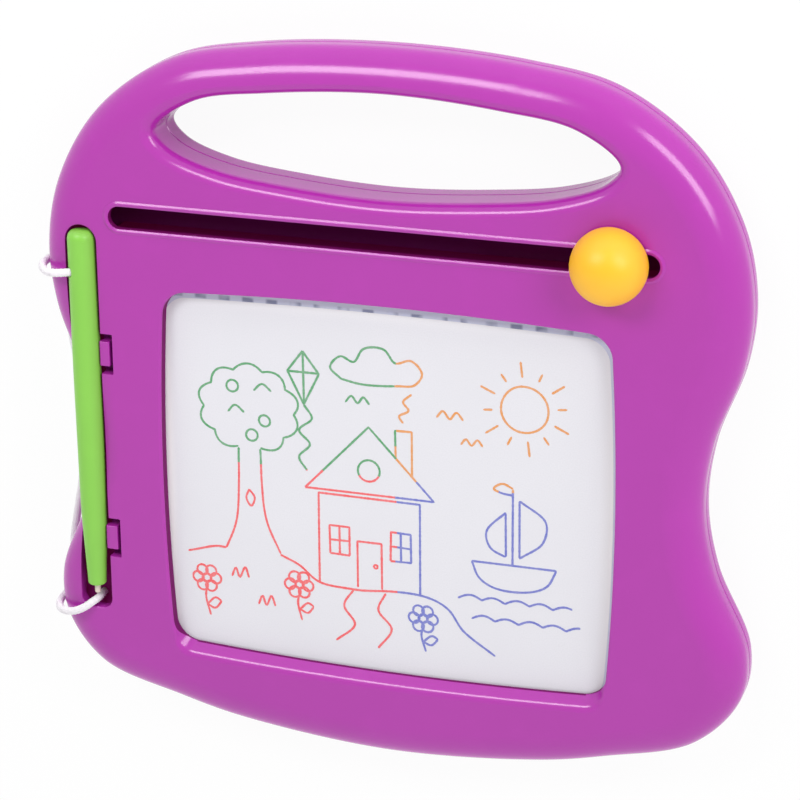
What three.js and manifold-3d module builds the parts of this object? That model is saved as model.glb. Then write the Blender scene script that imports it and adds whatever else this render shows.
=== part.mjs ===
// Magnetic drawing board: a carry-handled board with a lift-out pen on a cord and a sliding eraser.
// Millimetres, +Z up. The board lies on its back: +X is the drawer's right, +Y points to the handle.
import * as THREE from "three";
import { mergeVertices } from "three/addons/utils/BufferGeometryUtils.js";
import Module from "manifold-3d";

const wasm = await Module();
wasm.setup();

// Board
const boardHalfWidth = 130;
const boardHalfHeight = 131.5;
const boardThickness = 25;
const penSideTuck = 1.5;
const frontEdgeWidth = 13.5;
const frontEdgeDrop = 11;
const backFillet = 8;
const seamHeight = 11;
const wall = 2.4;
const fitGap = 0.3;
const overrun = 2;
const tongueThickness = 1.4;
const tongueRise = 2.5;
const tongueRoot = 4;
const tongueBite = 0.6;
const floorRibHeight = 3;
const floorRibWidth = 1.6;

// Handle
const handleHoleHalfWidth = 82.7;
const handleHoleHalfHeight = 18.4;
const handleTopBar = 14.9;
const handleRim = 4.8;

// Window
const windowTopDrop = 23.55;
const windowFoot = 33.7;
const windowRightMargin = 44.9;
const windowTroughGap = 6.2;
const windowBow = 2.6;
const windowCorner = 8;
const windowLip = 2.8;
const windowDepth = 5;
const skirtThickness = 2.2;

// Slot of the eraser knob
const slotX = -1.1;
const slotDrop = 13.65;
const slotEndMargin = 30.9;
const slotWidth = 8.2;
const slotBeadWidth = 1.6;
const slotBeadHeight = 0.5;

// Pen
const penInset = 18.6;
const penDrop = 1.2;
const penFoot = 55.3;
const penTopDrop = 5.75;
const penTipRadius = 3.4;
const penShoulderRadius = 4.75;
const penBodyRadius = 5.1;
const penHeadRadius = 5;
const penTaperLength = 29;
const penEndRound = 1;
const penBore = 2.9;
const penBoreLength = 30;
const penCapHeight = 3.8;
const penCapPlug = 6;
const penTipBoreLength = 10;
const penMagnetRadius = 1.1;
const penMagnetProud = 3.7;

// Pen trough and its two snap tabs
const troughSideGap = 0.9;
const troughEndGap = 1.8;
const troughTailGap = 9.2;
const troughCorner = 4;
const troughFloorRound = 2.5;
const troughLip = 0.5;
const tabPocketWidth = 4.7;
const tabPocketLength = 15.2;
const tabLength = 9.2;
const tabThickness = 3.4;
const slabThickness = 1.8;
const tabNoseHeight = 2.4;
const tabChamfer = 0.5;
const upperTabDrop = 45.7;
const lowerTabRise = 19.6;

// Screen
const filmThickness = 0.5;
const cellHeight = 1.8;
const cellAcrossFlats = 5;
const cellWall = 0.6;
const panelMargin = 8;
const cellReach = 2;
const fluidHiddenEdge = 1.5;
const fluidRightMargin = 1.9;
const fluidTopMargin = 2.5;
const fluidBow = 0.4;
const gasketWidth = 4.5;

// Eraser
const knobEndGap = 16.5;
const knobRadius = 13.2;
const knobCentreRise = 3.8;
const neckClearance = 0.5;
const magnetWidth = 9;
const magnetThickness = 2;
const magnetOverlap = 1.2;
const barWidth = 12;
const barThickness = 4.6;
const barFootLength = 8.5;
const barSide = 1.2;
const carriageLength = 17;
const railWidth = 2;
const railOverhang = 4.9;
const footDrop = 3.5;
const footProng = 1.6;

// Screws, washer and bosses
const screwHeadRadius = 2.8;
const screwHeadHeight = 2;
const screwRadius = 1.2;
const screwLength = 12;
const screwRecessRadius = 1.6;
const screwRecessDepth = 1;
const washerRadius = 3.1;
const washerThickness = 0.6;
const bossWall = 2.1;
const towerWall = 1.1;
const counterboreDepth = 6;
const edgeScrewInset = 10.9;
const eraserCounterboreDepth = 5.8;

// Cord
const cordDiameter = 3;
const cordHoleTurn = THREE.MathUtils.degToRad(50);
const cordStepShare = 2;
const penCordDrop = 15.4;
const knotRadius = 2.3;
const anchorDrop = 5.8;
const penEndLength = 6.5;

// Worked out from the sizes above
const quarterTurn = Math.PI / 2;
const handleHoleY = boardHalfHeight - handleTopBar - handleHoleHalfHeight;
const slotY = handleHoleY - handleHoleHalfHeight - slotDrop;
const slotHalfLength = boardHalfWidth - slotEndMargin;
const penX = penInset - boardHalfWidth;
const penTopY = slotY - penTopDrop;
const penBottomY = penFoot - boardHalfHeight;
const penCordY = penTopY - penCordDrop;
const anchorY = penBottomY - anchorDrop;
const upperTabY = penTopY - upperTabDrop;
const lowerTabY = penBottomY + lowerTabRise;
const troughHalfWidth = penBodyRadius + troughSideGap;
const troughWallX = penX + troughHalfWidth;
const windowLeftX = troughWallX + tabPocketWidth + wall + windowTroughGap + panelMargin;
const windowRightX = boardHalfWidth - windowRightMargin;
const windowLowY = windowFoot - boardHalfHeight;
const windowHighY = slotY - windowTopDrop;
const magnetLowY = windowLowY - magnetOverlap;
const magnetHighY = windowHighY + magnetOverlap;
const barEndY = magnetLowY - barFootLength;
const knobX = slotX + slotHalfLength - knobEndGap;
const railHalfLength = slotHalfLength + railOverhang;
const ceilingZ = boardThickness - wall;
const backRimZ = seamHeight - fitGap;
const filmTopZ = boardThickness - windowDepth;
const skirtBottomZ = filmTopZ + fitGap;
const cellTopZ = filmTopZ - filmThickness - fitGap;
const backFilmTopZ = cellTopZ - cellHeight - fitGap;
const magnetTopZ = backFilmTopZ - filmThickness - fitGap;
const channelZ = magnetTopZ - magnetThickness - fitGap;
const barBottomZ = channelZ - barThickness;
const railTopZ = barBottomZ - fitGap;
const penZ = boardThickness - penDrop;
const troughFloorZ = penZ - penBodyRadius - fitGap;
const troughTopY = penTopY + troughEndGap;
const troughBottomY = penBottomY - troughTailGap;
const slabBottomZ = troughFloorZ - slabThickness;
const cordRadius = cordDiameter / 2;
const cordHoleRadius = cordRadius + fitGap;
const neckRadius = slotWidth / 2 - neckClearance;
const pilotRadius = screwRadius + fitGap;
const lowerRailY = barEndY + footProng + fitGap + railWidth / 2;
const upperRailY = slotY - carriageLength / 2 - railWidth / 2;
const counterboreRadius = screwHeadRadius + fitGap;
const bossRadius = pilotRadius + bossWall;
const eraserWasherTopZ = barBottomZ + eraserCounterboreDepth - fitGap;
const eraserScrewHeadTopZ = eraserWasherTopZ - washerThickness - fitGap;
const towerRadius = counterboreRadius + towerWall;

// Colours and finishes
function finish(color, roughness, metalness = 0) {
  return new THREE.MeshStandardMaterial({ color, roughness, metalness });
}
const purple = finish(0xb84eb2, 0.35);
const green = finish(0x98dc5e, 0.4);
const yellow = finish(0xffc23c, 0.45);
const clearFilm = finish(0xe9eaf2, 0.3);
const paleFluid = finish(0xe6e5ea, 0.5);
const greyBlue = finish(0xb0b2d0, 0.5);
const foam = finish(0xd8d8d8, 0.9);
const darkMagnet = finish(0x2b2b2e, 0.8);
const paleTip = finish(0xe3d6cf, 0.4, 0.3);
const steel = finish(0xa8abb0, 0.35, 1);
const cordWhite = finish(0xf4eef4, 0.85);

// Solids and geometries
const weldDistance = 1e-4;

function toSolid(geometry) {
  const bare = geometry.clone();
  bare.deleteAttribute("normal");
  bare.deleteAttribute("uv");
  const merged = mergeVertices(bare, weldDistance);
  const corners = Array.from(merged.index.array);
  const triangles = Array.from({ length: corners.length / 3 }, (_, i) => corners.slice(3 * i, 3 * i + 3));
  const whole = triangles.filter(([a, b, c]) => a !== b && b !== c && c !== a);
  return new wasm.Manifold(
    new wasm.Mesh({
      numProp: 3,
      vertProperties: new Float32Array(merged.attributes.position.array),
      triVerts: new Uint32Array(whole.flat()),
    }),
  );
}

function toGeometry(solid) {
  const mesh = solid.getMesh();
  const geometry = new THREE.BufferGeometry();
  geometry.setAttribute("position", new THREE.BufferAttribute(new Float32Array(mesh.vertProperties), 3));
  geometry.setIndex(new THREE.BufferAttribute(new Uint32Array(mesh.triVerts), 1));
  geometry.computeVertexNormals();
  return geometry;
}

function indexed(points, faces) {
  const geometry = new THREE.BufferGeometry();
  geometry.setAttribute("position", new THREE.Float32BufferAttribute(points.flatMap((p) => p.toArray()), 3));
  geometry.setIndex(faces);
  return geometry;
}

// Outlines are lists of Vector2 that run anticlockwise
function offset(outline, distance) {
  const count = outline.length;
  return outline.map((point, i) => {
    const before = outline[(i + count - 1) % count];
    const after = outline[(i + 1) % count];
    const along = after.clone().sub(before).normalize();
    return new THREE.Vector2(point.x + along.y * distance, point.y - along.x * distance);
  });
}

function ringAt(outline, z) {
  return outline.map((point) => new THREE.Vector3(point.x, point.y, z));
}

// The solid through a stack of rings, lowest first, closed by flat ends
function loft(rings) {
  const count = rings[0].length;
  const faces = [];
  for (let level = 0; level + 1 < rings.length; level++) {
    for (let i = 0; i < count; i++) {
      const low = level * count + i;
      const lowNext = level * count + ((i + 1) % count);
      faces.push(low, lowNext, lowNext + count, low, lowNext + count, low + count);
    }
  }
  const topStart = (rings.length - 1) * count;
  const flat = (ring) => ring.map((point) => new THREE.Vector2(point.x, point.y));
  for (const [a, b, c] of THREE.ShapeUtils.triangulateShape(flat(rings[0]), [])) {
    faces.push(a, c, b);
  }
  for (const [a, b, c] of THREE.ShapeUtils.triangulateShape(flat(rings.at(-1)), [])) {
    faces.push(topStart + a, topStart + b, topStart + c);
  }
  return toSolid(indexed(rings.flat(), faces));
}

// A closed band round an outline: its section is a list of [distance out, z], anticlockwise
function band(outline, section) {
  const count = outline.length;
  const points = section.flatMap(([out, z]) => ringAt(offset(outline, out), z));
  const faces = [];
  section.forEach((_, level) => {
    const next = (level + 1) % section.length;
    for (let i = 0; i < count; i++) {
      const j = (i + 1) % count;
      faces.push(level * count + i, level * count + j, next * count + j);
      faces.push(level * count + i, next * count + j, next * count + i);
    }
  });
  return toSolid(indexed(points, faces));
}

function squareBand(outline, inner, outer, bottomZ, topZ) {
  return band(outline, [
    [inner, bottomZ],
    [outer, bottomZ],
    [outer, topZ],
    [inner, topZ],
  ]);
}

function prism(outline, bottomZ, topZ) {
  return loft([ringAt(outline, bottomZ), ringAt(outline, topZ)]);
}

// Rings of a rounded edge, from where it springs to where it meets the flat
function roundedEdge(outline, inset, width, height, springZ, upOrDown, steps) {
  return Array.from({ length: steps + 1 }, (_, i) => {
    const angle = (i / steps) * quarterTurn;
    const inward = inset + width * (1 - Math.cos(angle));
    return ringAt(offset(outline, -inward), springZ + upOrDown * height * Math.sin(angle));
  });
}

// Rings of a hole that opens out in a quarter round, from the hole's wall to a face that looks up or down
function flare(outline, lip, faceZ, upOrDown, steps) {
  return Array.from({ length: steps + 1 }, (_, i) => {
    const angle = (i / steps) * quarterTurn;
    const out = lip * (1 - Math.cos(angle));
    return ringAt(offset(outline, out), faceZ - upOrDown * lip * (1 - Math.sin(angle)));
  });
}

function flaredCutter(outline, bottomZ, faceZ, lip, steps) {
  return loft([
    ringAt(outline, bottomZ),
    ...flare(outline, lip, faceZ, 1, steps),
    ringAt(offset(outline, lip), faceZ + overrun),
  ]);
}

function box(lowX, highX, lowY, highY, lowZ, highZ) {
  const geometry = new THREE.BoxGeometry(highX - lowX, highY - lowY, highZ - lowZ);
  geometry.translate((lowX + highX) / 2, (lowY + highY) / 2, (lowZ + highZ) / 2);
  return toSolid(geometry);
}

function post(x, y, radius, bottomZ, topZ, sides = 12) {
  const geometry = new THREE.CylinderGeometry(radius, radius, topZ - bottomZ, sides);
  geometry.rotateX(quarterTurn);
  geometry.translate(x, y, (bottomZ + topZ) / 2);
  return toSolid(geometry);
}

// A prism whose section lies in X and Z
function crossPrism(section, lowY, highY) {
  const shape = new THREE.Shape(section.map(([x, z]) => new THREE.Vector2(x, z)));
  const geometry = new THREE.ExtrudeGeometry(shape, { depth: highY - lowY, bevelEnabled: false });
  geometry.rotateX(quarterTurn);
  geometry.translate(0, highY, 0);
  return toSolid(geometry);
}

// A turned solid about the Y axis: its profile is a list of [radius, y] from the lower end up the outside
function turned(profile, sides) {
  const points = profile.map(([radius, y]) => new THREE.Vector2(radius, y));
  return new THREE.LatheGeometry(points, sides);
}

function turnedUpright(profile, sides) {
  return toSolid(turned(profile, sides).rotateX(quarterTurn));
}

// Points of a quarter or smaller round in a profile, between two angles above the horizontal
function roundProfile(centreRadius, centreY, radius, startAngle, endAngle, steps) {
  return Array.from({ length: steps + 1 }, (_, i) => {
    const angle = startAngle + ((endAngle - startAngle) * i) / steps;
    return [centreRadius + radius * Math.cos(angle), centreY + radius * Math.sin(angle)];
  });
}

function union(solids) {
  return solids.reduce((joined, solid) => joined.add(solid));
}

// Half of a mirrored outline from its lowest point to its highest, as shares of its half width and height
const boardShares = [
  [0, -1],
  [0.43, -0.965],
  [0.628, -0.922],
  [0.867, -0.847],
  [0.987, -0.71],
  [1, -0.569],
  [0.906, -0.353],
  [0.872, -0.173],
  [0.892, 0.012],
  [0.965, 0.225],
  [0.982, 0.398],
  [0.942, 0.587],
  [0.82, 0.782],
  [0.611, 0.927],
  [0.376, 0.977],
  [0, 1],
];
const lowerLobeShare = -0.5;
const lobeReachShare = 0.95;
const handleShares = [
  [0, -1],
  [0.4, -0.9],
  [0.74, -0.69],
  [0.948, -0.33],
  [1, 0.01],
  [0.822, 0.598],
  [0.5, 0.85],
  [0, 1],
];

function mirrored(shares, halfWidth, halfHeight, centreY, leftTuck, stepsPerSpan) {
  const right = shares.map(([x, y]) => new THREE.Vector3(x * halfWidth, centreY + y * halfHeight, 0));
  const left = shares.slice(1, -1).map(([x, y]) => {
    const isLowerLobe = y < lowerLobeShare && x > lobeReachShare;
    return new THREE.Vector3(-x * halfWidth + (isLowerLobe ? leftTuck : 0), centreY + y * halfHeight, 0);
  });
  const knots = [...right, ...left.reverse()];
  const curve = new THREE.CatmullRomCurve3(knots, true, "centripetal");
  const count = knots.length * stepsPerSpan;
  return Array.from({ length: count }, (_, i) => {
    const point = curve.getPoint(i / count);
    return new THREE.Vector2(point.x, point.y);
  });
}

// A rectangle with a radius for each corner, from the upper right one anticlockwise
function roundedRectangle(lowX, highX, lowY, highY, radii, cornerSteps = 4) {
  const centres = [
    [highX - radii[0], highY - radii[0]],
    [lowX + radii[1], highY - radii[1]],
    [lowX + radii[2], lowY + radii[2]],
    [highX - radii[3], lowY + radii[3]],
  ];
  const points = centres.flatMap(([x, y], corner) =>
    Array.from({ length: cornerSteps + 1 }, (_, i) => {
      const angle = (corner + i / cornerSteps) * quarterTurn;
      return new THREE.Vector2(x + radii[corner] * Math.cos(angle), y + radii[corner] * Math.sin(angle));
    }),
  );
  return points.filter((point, i) => point.distanceTo(points.at(i - 1)) > weldDistance);
}

// The same with its sides cut into short runs and bowed outwards
function bowedRectangle(lowX, highX, lowY, highY, bow, corner, sideRuns = 6) {
  const halfWidth = (highX - lowX) / 2 - bow;
  const halfHeight = (highY - lowY) / 2 - bow;
  const centre = new THREE.Vector2((lowX + highX) / 2, (lowY + highY) / 2);
  const radii = [corner, corner, corner, corner];
  const outline = roundedRectangle(-halfWidth, halfWidth, -halfHeight, halfHeight, radii);
  const longestRun = (2 * Math.min(halfWidth, halfHeight)) / sideRuns;
  const fine = outline.flatMap((point, i) => {
    const next = outline[(i + 1) % outline.length];
    const runs = Math.ceil(point.distanceTo(next) / longestRun);
    return Array.from({ length: runs }, (_, run) => point.clone().lerp(next, run / runs));
  });
  return fine.map(({ x, y }) => {
    const stretchX = 1 + (bow / halfWidth) * (1 - (y / halfHeight) ** 2);
    const stretchY = 1 + (bow / halfHeight) * (1 - (x / halfWidth) ** 2);
    return new THREE.Vector2(x * stretchX, y * stretchY).add(centre);
  });
}

function isInside(point, outline) {
  let inside = false;
  outline.forEach((a, i) => {
    const b = outline[(i + 1) % outline.length];
    const crosses = a.y > point.y !== b.y > point.y;
    if (crosses && point.x < ((b.x - a.x) * (point.y - a.y)) / (b.y - a.y) + a.x) inside = !inside;
  });
  return inside;
}

const boardOutline = mirrored(boardShares, boardHalfWidth, boardHalfHeight, 0, penSideTuck, 3);
const handleOutline = mirrored(handleShares, handleHoleHalfWidth, handleHoleHalfHeight, handleHoleY, 0, 3);
const windowOutline = bowedRectangle(windowLeftX, windowRightX, windowLowY, windowHighY, windowBow, windowCorner);
// Section of the slot's bead, as shares of its width and height
const beadShares = [
  [1, 0],
  [0.7, 0.8],
  [0.35, 1],
];
const slotRadius = slotWidth / 2;
const slotOutline = roundedRectangle(
  slotX - slotHalfLength,
  slotX + slotHalfLength,
  slotY - slotRadius,
  slotY + slotRadius,
  [slotRadius, slotRadius, slotRadius, slotRadius],
);
const troughOutline = roundedRectangle(
  penX - troughHalfWidth,
  troughWallX,
  troughBottomY,
  troughTopY,
  [troughHalfWidth, troughHalfWidth, troughCorner, troughCorner],
);
const panelOutline = offset(windowOutline, panelMargin);
const fluidOutline = bowedRectangle(
  windowLeftX - fluidHiddenEdge,
  windowRightX - fluidRightMargin,
  windowLowY - fluidHiddenEdge,
  windowHighY - fluidTopMargin,
  fluidBow,
  windowCorner,
);

// Screw places as shares of the board's half width and half height, but close to its top and foot
const topScrewShare = 0.354;
const sideScrewShares = [
  [0.835, 0.608],
  [0.842, -0.76],
];
const edgeScrewY = boardHalfHeight - edgeScrewInset;
const screwPlaces = [
  ...[-1, 1].flatMap((side) => [
    [side * topScrewShare * boardHalfWidth, edgeScrewY],
    ...sideScrewShares.map(([x, y]) => [side * x * boardHalfWidth, y * boardHalfHeight]),
  ]),
  [0, -edgeScrewY],
];

// Pen radius along its length
const penStations = [
  [penBottomY, penTipRadius - penEndRound],
  [penBottomY + penEndRound, penTipRadius],
  [penBottomY + penTaperLength, penShoulderRadius],
  [(penBottomY + penTopY) / 2 + penTaperLength / 2, penBodyRadius],
  [penTopY - penCapHeight, penHeadRadius],
];

function penRadiusAt(y) {
  const upper = penStations.findIndex(([stationY]) => stationY >= y);
  const [lowY, lowRadius] = penStations[upper - 1];
  const [highY, highRadius] = penStations[upper];
  return lowRadius + ((highRadius - lowRadius) * (y - lowY)) / (highY - lowY);
}

function troughCutter() {
  const round = troughFloorRound;
  const rings = [
    ringAt(offset(troughOutline, -round), troughFloorZ),
    ringAt(offset(troughOutline, -round * (1 - Math.SQRT1_2)), troughFloorZ + round * (1 - Math.SQRT1_2)),
    ringAt(troughOutline, troughFloorZ + round),
    ringAt(troughOutline, boardThickness - troughLip),
    ringAt(offset(troughOutline, troughLip), boardThickness),
    ringAt(offset(troughOutline, troughLip), boardThickness + overrun),
  ];
  return loft(rings);
}

// A spring tab stands in its pocket beside the trough, and its nose reaches to the pen
function snapTab(centreY) {
  const lowY = centreY - tabLength / 2;
  const highY = centreY + tabLength / 2;
  const widest = Math.max(penRadiusAt(lowY), penRadiusAt(highY));
  const noseX = penX + widest + fitGap;
  const section = [
    [troughWallX, troughFloorZ - wall / 2],
    [troughWallX + tabThickness, troughFloorZ - wall / 2],
    [troughWallX + tabThickness, boardThickness],
    [noseX + tabChamfer, boardThickness],
    [noseX, boardThickness - tabChamfer],
    [noseX, boardThickness - tabNoseHeight],
    [troughWallX, boardThickness - tabNoseHeight - (troughWallX - noseX)],
  ];
  return crossPrism(section, lowY, highY);
}

function frontShell() {
  const springZ = boardThickness - frontEdgeDrop;
  const outer = loft([
    ringAt(boardOutline, seamHeight),
    ...roundedEdge(boardOutline, 0, frontEdgeWidth, frontEdgeDrop, springZ, 1, 5),
  ]);
  const cavity = loft([
    ringAt(offset(boardOutline, -wall), seamHeight - overrun),
    ...roundedEdge(boardOutline, wall, frontEdgeWidth - wall, frontEdgeDrop - wall, springZ, 1, 3),
  ]);
  const tabCentres = [upperTabY, lowerTabY];
  const pocketEndX = troughWallX + tabPocketWidth;
  const blocks = union([
    ...screwPlaces.map(([x, y]) => post(x, y, bossRadius, seamHeight, boardThickness)),
    box(
      -boardHalfWidth - overrun,
      troughWallX + wall,
      troughBottomY - wall,
      troughTopY + wall,
      slabBottomZ,
      boardThickness,
    ),
    ...tabCentres.map((y) => {
      const reach = tabPocketLength / 2 + wall;
      return box(troughWallX, pocketEndX + wall, y - reach, y + reach, slabBottomZ, boardThickness);
    }),
  ]).intersect(outer);
  const skirt = squareBand(windowOutline, -overrun, skirtThickness, skirtBottomZ, ceilingZ + wall / 2);
  const tunnel = squareBand(handleOutline, -overrun, wall, seamHeight, ceilingZ + wall / 2);
  const bead = band(slotOutline, [
    [-overrun, ceilingZ],
    [slotBeadWidth, ceilingZ],
    ...beadShares.map(([out, up]) => [slotBeadWidth * out, boardThickness + slotBeadHeight * up]),
    [-overrun, boardThickness + slotBeadHeight],
  ]);
  const cuts = [
    flaredCutter(handleOutline, seamHeight - overrun, boardThickness, handleRim, 3),
    flaredCutter(windowOutline, skirtBottomZ - overrun, boardThickness, windowLip, 3),
    prism(slotOutline, ceilingZ - overrun, boardThickness + overrun),
    troughCutter(),
    post(penX, anchorY, cordHoleRadius, slabBottomZ - overrun, troughFloorZ + overrun),
    ...tabCentres.map((y) => {
      const reach = tabPocketLength / 2;
      return box(troughWallX - overrun, pocketEndX, y - reach, y + reach, troughFloorZ, boardThickness + overrun);
    }),
    ...screwPlaces.map(([x, y]) => post(x, y, pilotRadius, seamHeight - overrun, ceilingZ - overrun)),
  ];
  return union([outer.subtract(cavity), blocks, skirt, tunnel, bead])
    .subtract(union(cuts))
    .add(union(tabCentres.map(snapTab)));
}

function backShell() {
  const outer = loft([
    ...roundedEdge(boardOutline, 0, backFillet, backFillet, backFillet, -1, 3).reverse(),
    ringAt(boardOutline, backRimZ),
  ]);
  const innerFillet = backFillet - wall;
  const cavity = loft([
    ...roundedEdge(boardOutline, wall, innerFillet, innerFillet, backFillet, -1, 2).reverse(),
    ringAt(offset(boardOutline, -wall), backRimZ + overrun),
  ]);
  const tongueOuter = -wall - fitGap;
  const tongueInner = tongueOuter - tongueThickness;
  const tongue = band(boardOutline, [
    [tongueInner, backRimZ - tongueRoot],
    [tongueBite - wall, backRimZ - tongueRoot],
    [tongueBite - wall, backRimZ - fitGap],
    [tongueOuter, backRimZ - fitGap],
    [tongueOuter, backRimZ + tongueRise],
    [tongueInner, backRimZ + tongueRise],
  ]);
  const tunnel = squareBand(handleOutline, -overrun, wall, wall / 2, backRimZ);
  const towers = screwPlaces.map(([x, y]) => post(x, y, towerRadius, wall / 2, backRimZ));
  const rails = [upperRailY, lowerRailY].map((y) => {
    return box(-railHalfLength, railHalfLength, y - railWidth / 2, y + railWidth / 2, wall / 2, railTopZ);
  });
  const ribs = [-1, 0, 1].map((side) => {
    const x = (side * railHalfLength) / 2;
    const half = floorRibWidth / 2;
    return box(x - half, x + half, lowerRailY, upperRailY, wall / 2, wall + floorRibHeight);
  });
  const handleCut = loft([
    ringAt(offset(handleOutline, handleRim), -overrun),
    ...flare(handleOutline, handleRim, 0, -1, 3).reverse(),
    ringAt(handleOutline, backRimZ + overrun),
  ]);
  const cuts = [
    handleCut,
    ...screwPlaces.map(([x, y]) => post(x, y, counterboreRadius, -overrun, counterboreDepth)),
    ...screwPlaces.map(([x, y]) => post(x, y, pilotRadius, counterboreDepth - overrun, backRimZ + overrun)),
  ];
  return union([outer.subtract(cavity), tongue, tunnel, ...towers, ...rails, ...ribs]).subtract(union(cuts));
}

// The screen: two films with a sheet of cells between them, under a foam gasket
function screenSheet(topZ, thickness) {
  return prism(panelOutline, topZ - thickness, topZ);
}

function gasket() {
  const inner = skirtThickness + fitGap;
  return squareBand(windowOutline, inner, inner + gasketWidth, skirtBottomZ, ceilingZ - fitGap);
}

// Cells are open along the border, where they show beside the pale fluid
function honeycomb() {
  const side = cellAcrossFlats / Math.sqrt(3);
  const holeRadius = (cellAcrossFlats - cellWall) / Math.sqrt(3);
  const columnPitch = 1.5 * side;
  const middle = new THREE.Vector2((windowLeftX + windowRightX) / 2, (windowLowY + windowHighY) / 2);
  const columns = Math.ceil((windowRightX - middle.x) / columnPitch);
  const rows = Math.ceil((windowHighY - middle.y) / cellAcrossFlats);
  const plainArea = offset(fluidOutline, -cellReach);
  const cells = [];
  for (let column = -columns; column <= columns; column++) {
    const stagger = column % 2 === 0 ? 0 : 1 / 2;
    for (let row = -rows; row <= rows; row++) {
      const centre = new THREE.Vector2(column * columnPitch, (row + stagger) * cellAcrossFlats).add(middle);
      if (!isInside(centre, windowOutline) || isInside(centre, plainArea)) continue;
      const corners = Array.from({ length: 6 }, (_, i) => {
        const angle = (i * Math.PI) / 3;
        return new THREE.Vector2(Math.cos(angle), Math.sin(angle)).multiplyScalar(holeRadius).add(centre);
      });
      cells.push(prism(corners, cellTopZ - cellHeight - overrun, cellTopZ + overrun));
    }
  }
  return screenSheet(cellTopZ, cellHeight).subtract(union(cells));
}

// The eraser is drawn about its own line across the board; its group gives it its place
function eraserKnob() {
  const centreZ = boardThickness + knobCentreRise;
  const undersideZ = boardThickness + slotBeadHeight + fitGap;
  const boreTopZ = eraserScrewHeadTopZ + screwLength + fitGap;
  const underAngle = Math.asin((undersideZ - centreZ) / knobRadius);
  return turnedUpright(
    [
      [0, boreTopZ],
      [pilotRadius, boreTopZ],
      [pilotRadius, ceilingZ],
      [neckRadius, ceilingZ],
      [neckRadius, undersideZ],
      ...roundProfile(0, centreZ, knobRadius, underAngle, quarterTurn, 9),
    ],
    28,
  );
}

function eraserBar() {
  const half = barWidth / 2;
  const carriageLowY = slotY - carriageLength / 2;
  const carriageHighY = slotY + carriageLength / 2;
  const channelLowY = magnetLowY - fitGap;
  const channelHighY = magnetHighY + fitGap;
  const body = box(-half, half, barEndY, carriageHighY, barBottomZ, channelZ);
  const rim = box(
    -half,
    half,
    channelLowY - barSide,
    channelHighY + barSide,
    channelZ - overrun,
    magnetTopZ - fitGap,
  );
  const channel = box(
    -half + barSide,
    half - barSide,
    channelLowY,
    channelHighY,
    channelZ,
    magnetTopZ + overrun,
  );
  const carriage = box(-half, half, carriageLowY, carriageHighY, barBottomZ, ceilingZ - fitGap);
  const railHalf = railWidth / 2;
  const prongs = [lowerRailY - railHalf - fitGap - footProng, lowerRailY + railHalf + fitGap].map((y) => {
    return box(-half, half, y, y + footProng, barBottomZ - footDrop, channelZ - overrun);
  });
  const screwPocketTopZ = barBottomZ + eraserCounterboreDepth;
  const cuts = union([
    channel,
    post(0, slotY, washerRadius + fitGap, barBottomZ - overrun, screwPocketTopZ),
    post(0, slotY, pilotRadius, screwPocketTopZ - overrun, ceilingZ + overrun),
  ]);
  return union([body, rim, carriage, ...prongs]).subtract(cuts);
}

function eraserMagnet() {
  const half = magnetWidth / 2;
  return box(-half, half, magnetLowY, magnetHighY, magnetTopZ - magnetThickness, magnetTopZ);
}

function washer(topZ) {
  return turnedUpright(
    [
      [pilotRadius, topZ - washerThickness],
      [washerRadius, topZ - washerThickness],
      [washerRadius, topZ],
      [pilotRadius, topZ],
      [pilotRadius, topZ - washerThickness],
    ],
    12,
  );
}

// A pan-head screw that points up: its head's upper face lies at the given height
function screw(headTopZ) {
  const headBottomZ = headTopZ - screwHeadHeight;
  return turnedUpright(
    [
      [0, headBottomZ + screwRecessDepth],
      [screwRecessRadius, headBottomZ],
      [screwHeadRadius - screwHeadHeight / 4, headBottomZ],
      [screwHeadRadius, headBottomZ + screwHeadHeight / 4],
      [screwHeadRadius, headTopZ],
      [screwRadius, headTopZ],
      [screwRadius, headTopZ + screwLength - screwRadius],
      [0, headTopZ + screwLength],
    ],
    8,
  );
}

// The pen is drawn about its own axis, along Y; its group gives it its place
function cordDirection() {
  return new THREE.Vector3(0, 0, 1).applyAxisAngle(new THREE.Vector3(0, 1, 0), -cordHoleTurn);
}

function penBarrel() {
  const capSeatY = penTopY - penCapHeight;
  const body = toSolid(
    turned(
      [
        [0, penBottomY + penTipBoreLength],
        [penMagnetRadius + fitGap, penBottomY + penTipBoreLength],
        [penMagnetRadius + fitGap, penBottomY],
        ...roundProfile(penTipRadius - penEndRound, penBottomY + penEndRound, penEndRound, -quarterTurn, 0, 3),
        ...penStations.slice(2).map(([y, radius]) => [radius, y]),
        [penBore, capSeatY],
        [penBore, capSeatY - penBoreLength],
        [0, capSeatY - penBoreLength],
      ],
      24,
    ),
  );
  const hole = new THREE.CylinderGeometry(cordHoleRadius, cordHoleRadius, 2 * penBodyRadius, 12);
  hole.translate(0, penBodyRadius, 0);
  hole.applyQuaternion(new THREE.Quaternion().setFromUnitVectors(new THREE.Vector3(0, 1, 0), cordDirection()));
  hole.translate(0, penCordY, 0);
  return body.subtract(toSolid(hole));
}

function penEndCap() {
  const seatY = penTopY - penCapHeight + fitGap;
  const domeHeight = penTopY - seatY;
  const plugRadius = penBore - fitGap;
  const dome = roundProfile(0, 0, 1, 0, quarterTurn, 5);
  return toSolid(
    turned(
      [
        [0, seatY - penCapPlug],
        [plugRadius, seatY - penCapPlug],
        [plugRadius, seatY],
        ...dome.map(([outShare, upShare]) => [penHeadRadius * Math.sqrt(outShare), seatY + domeHeight * upShare]),
      ],
      24,
    ),
  );
}

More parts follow.
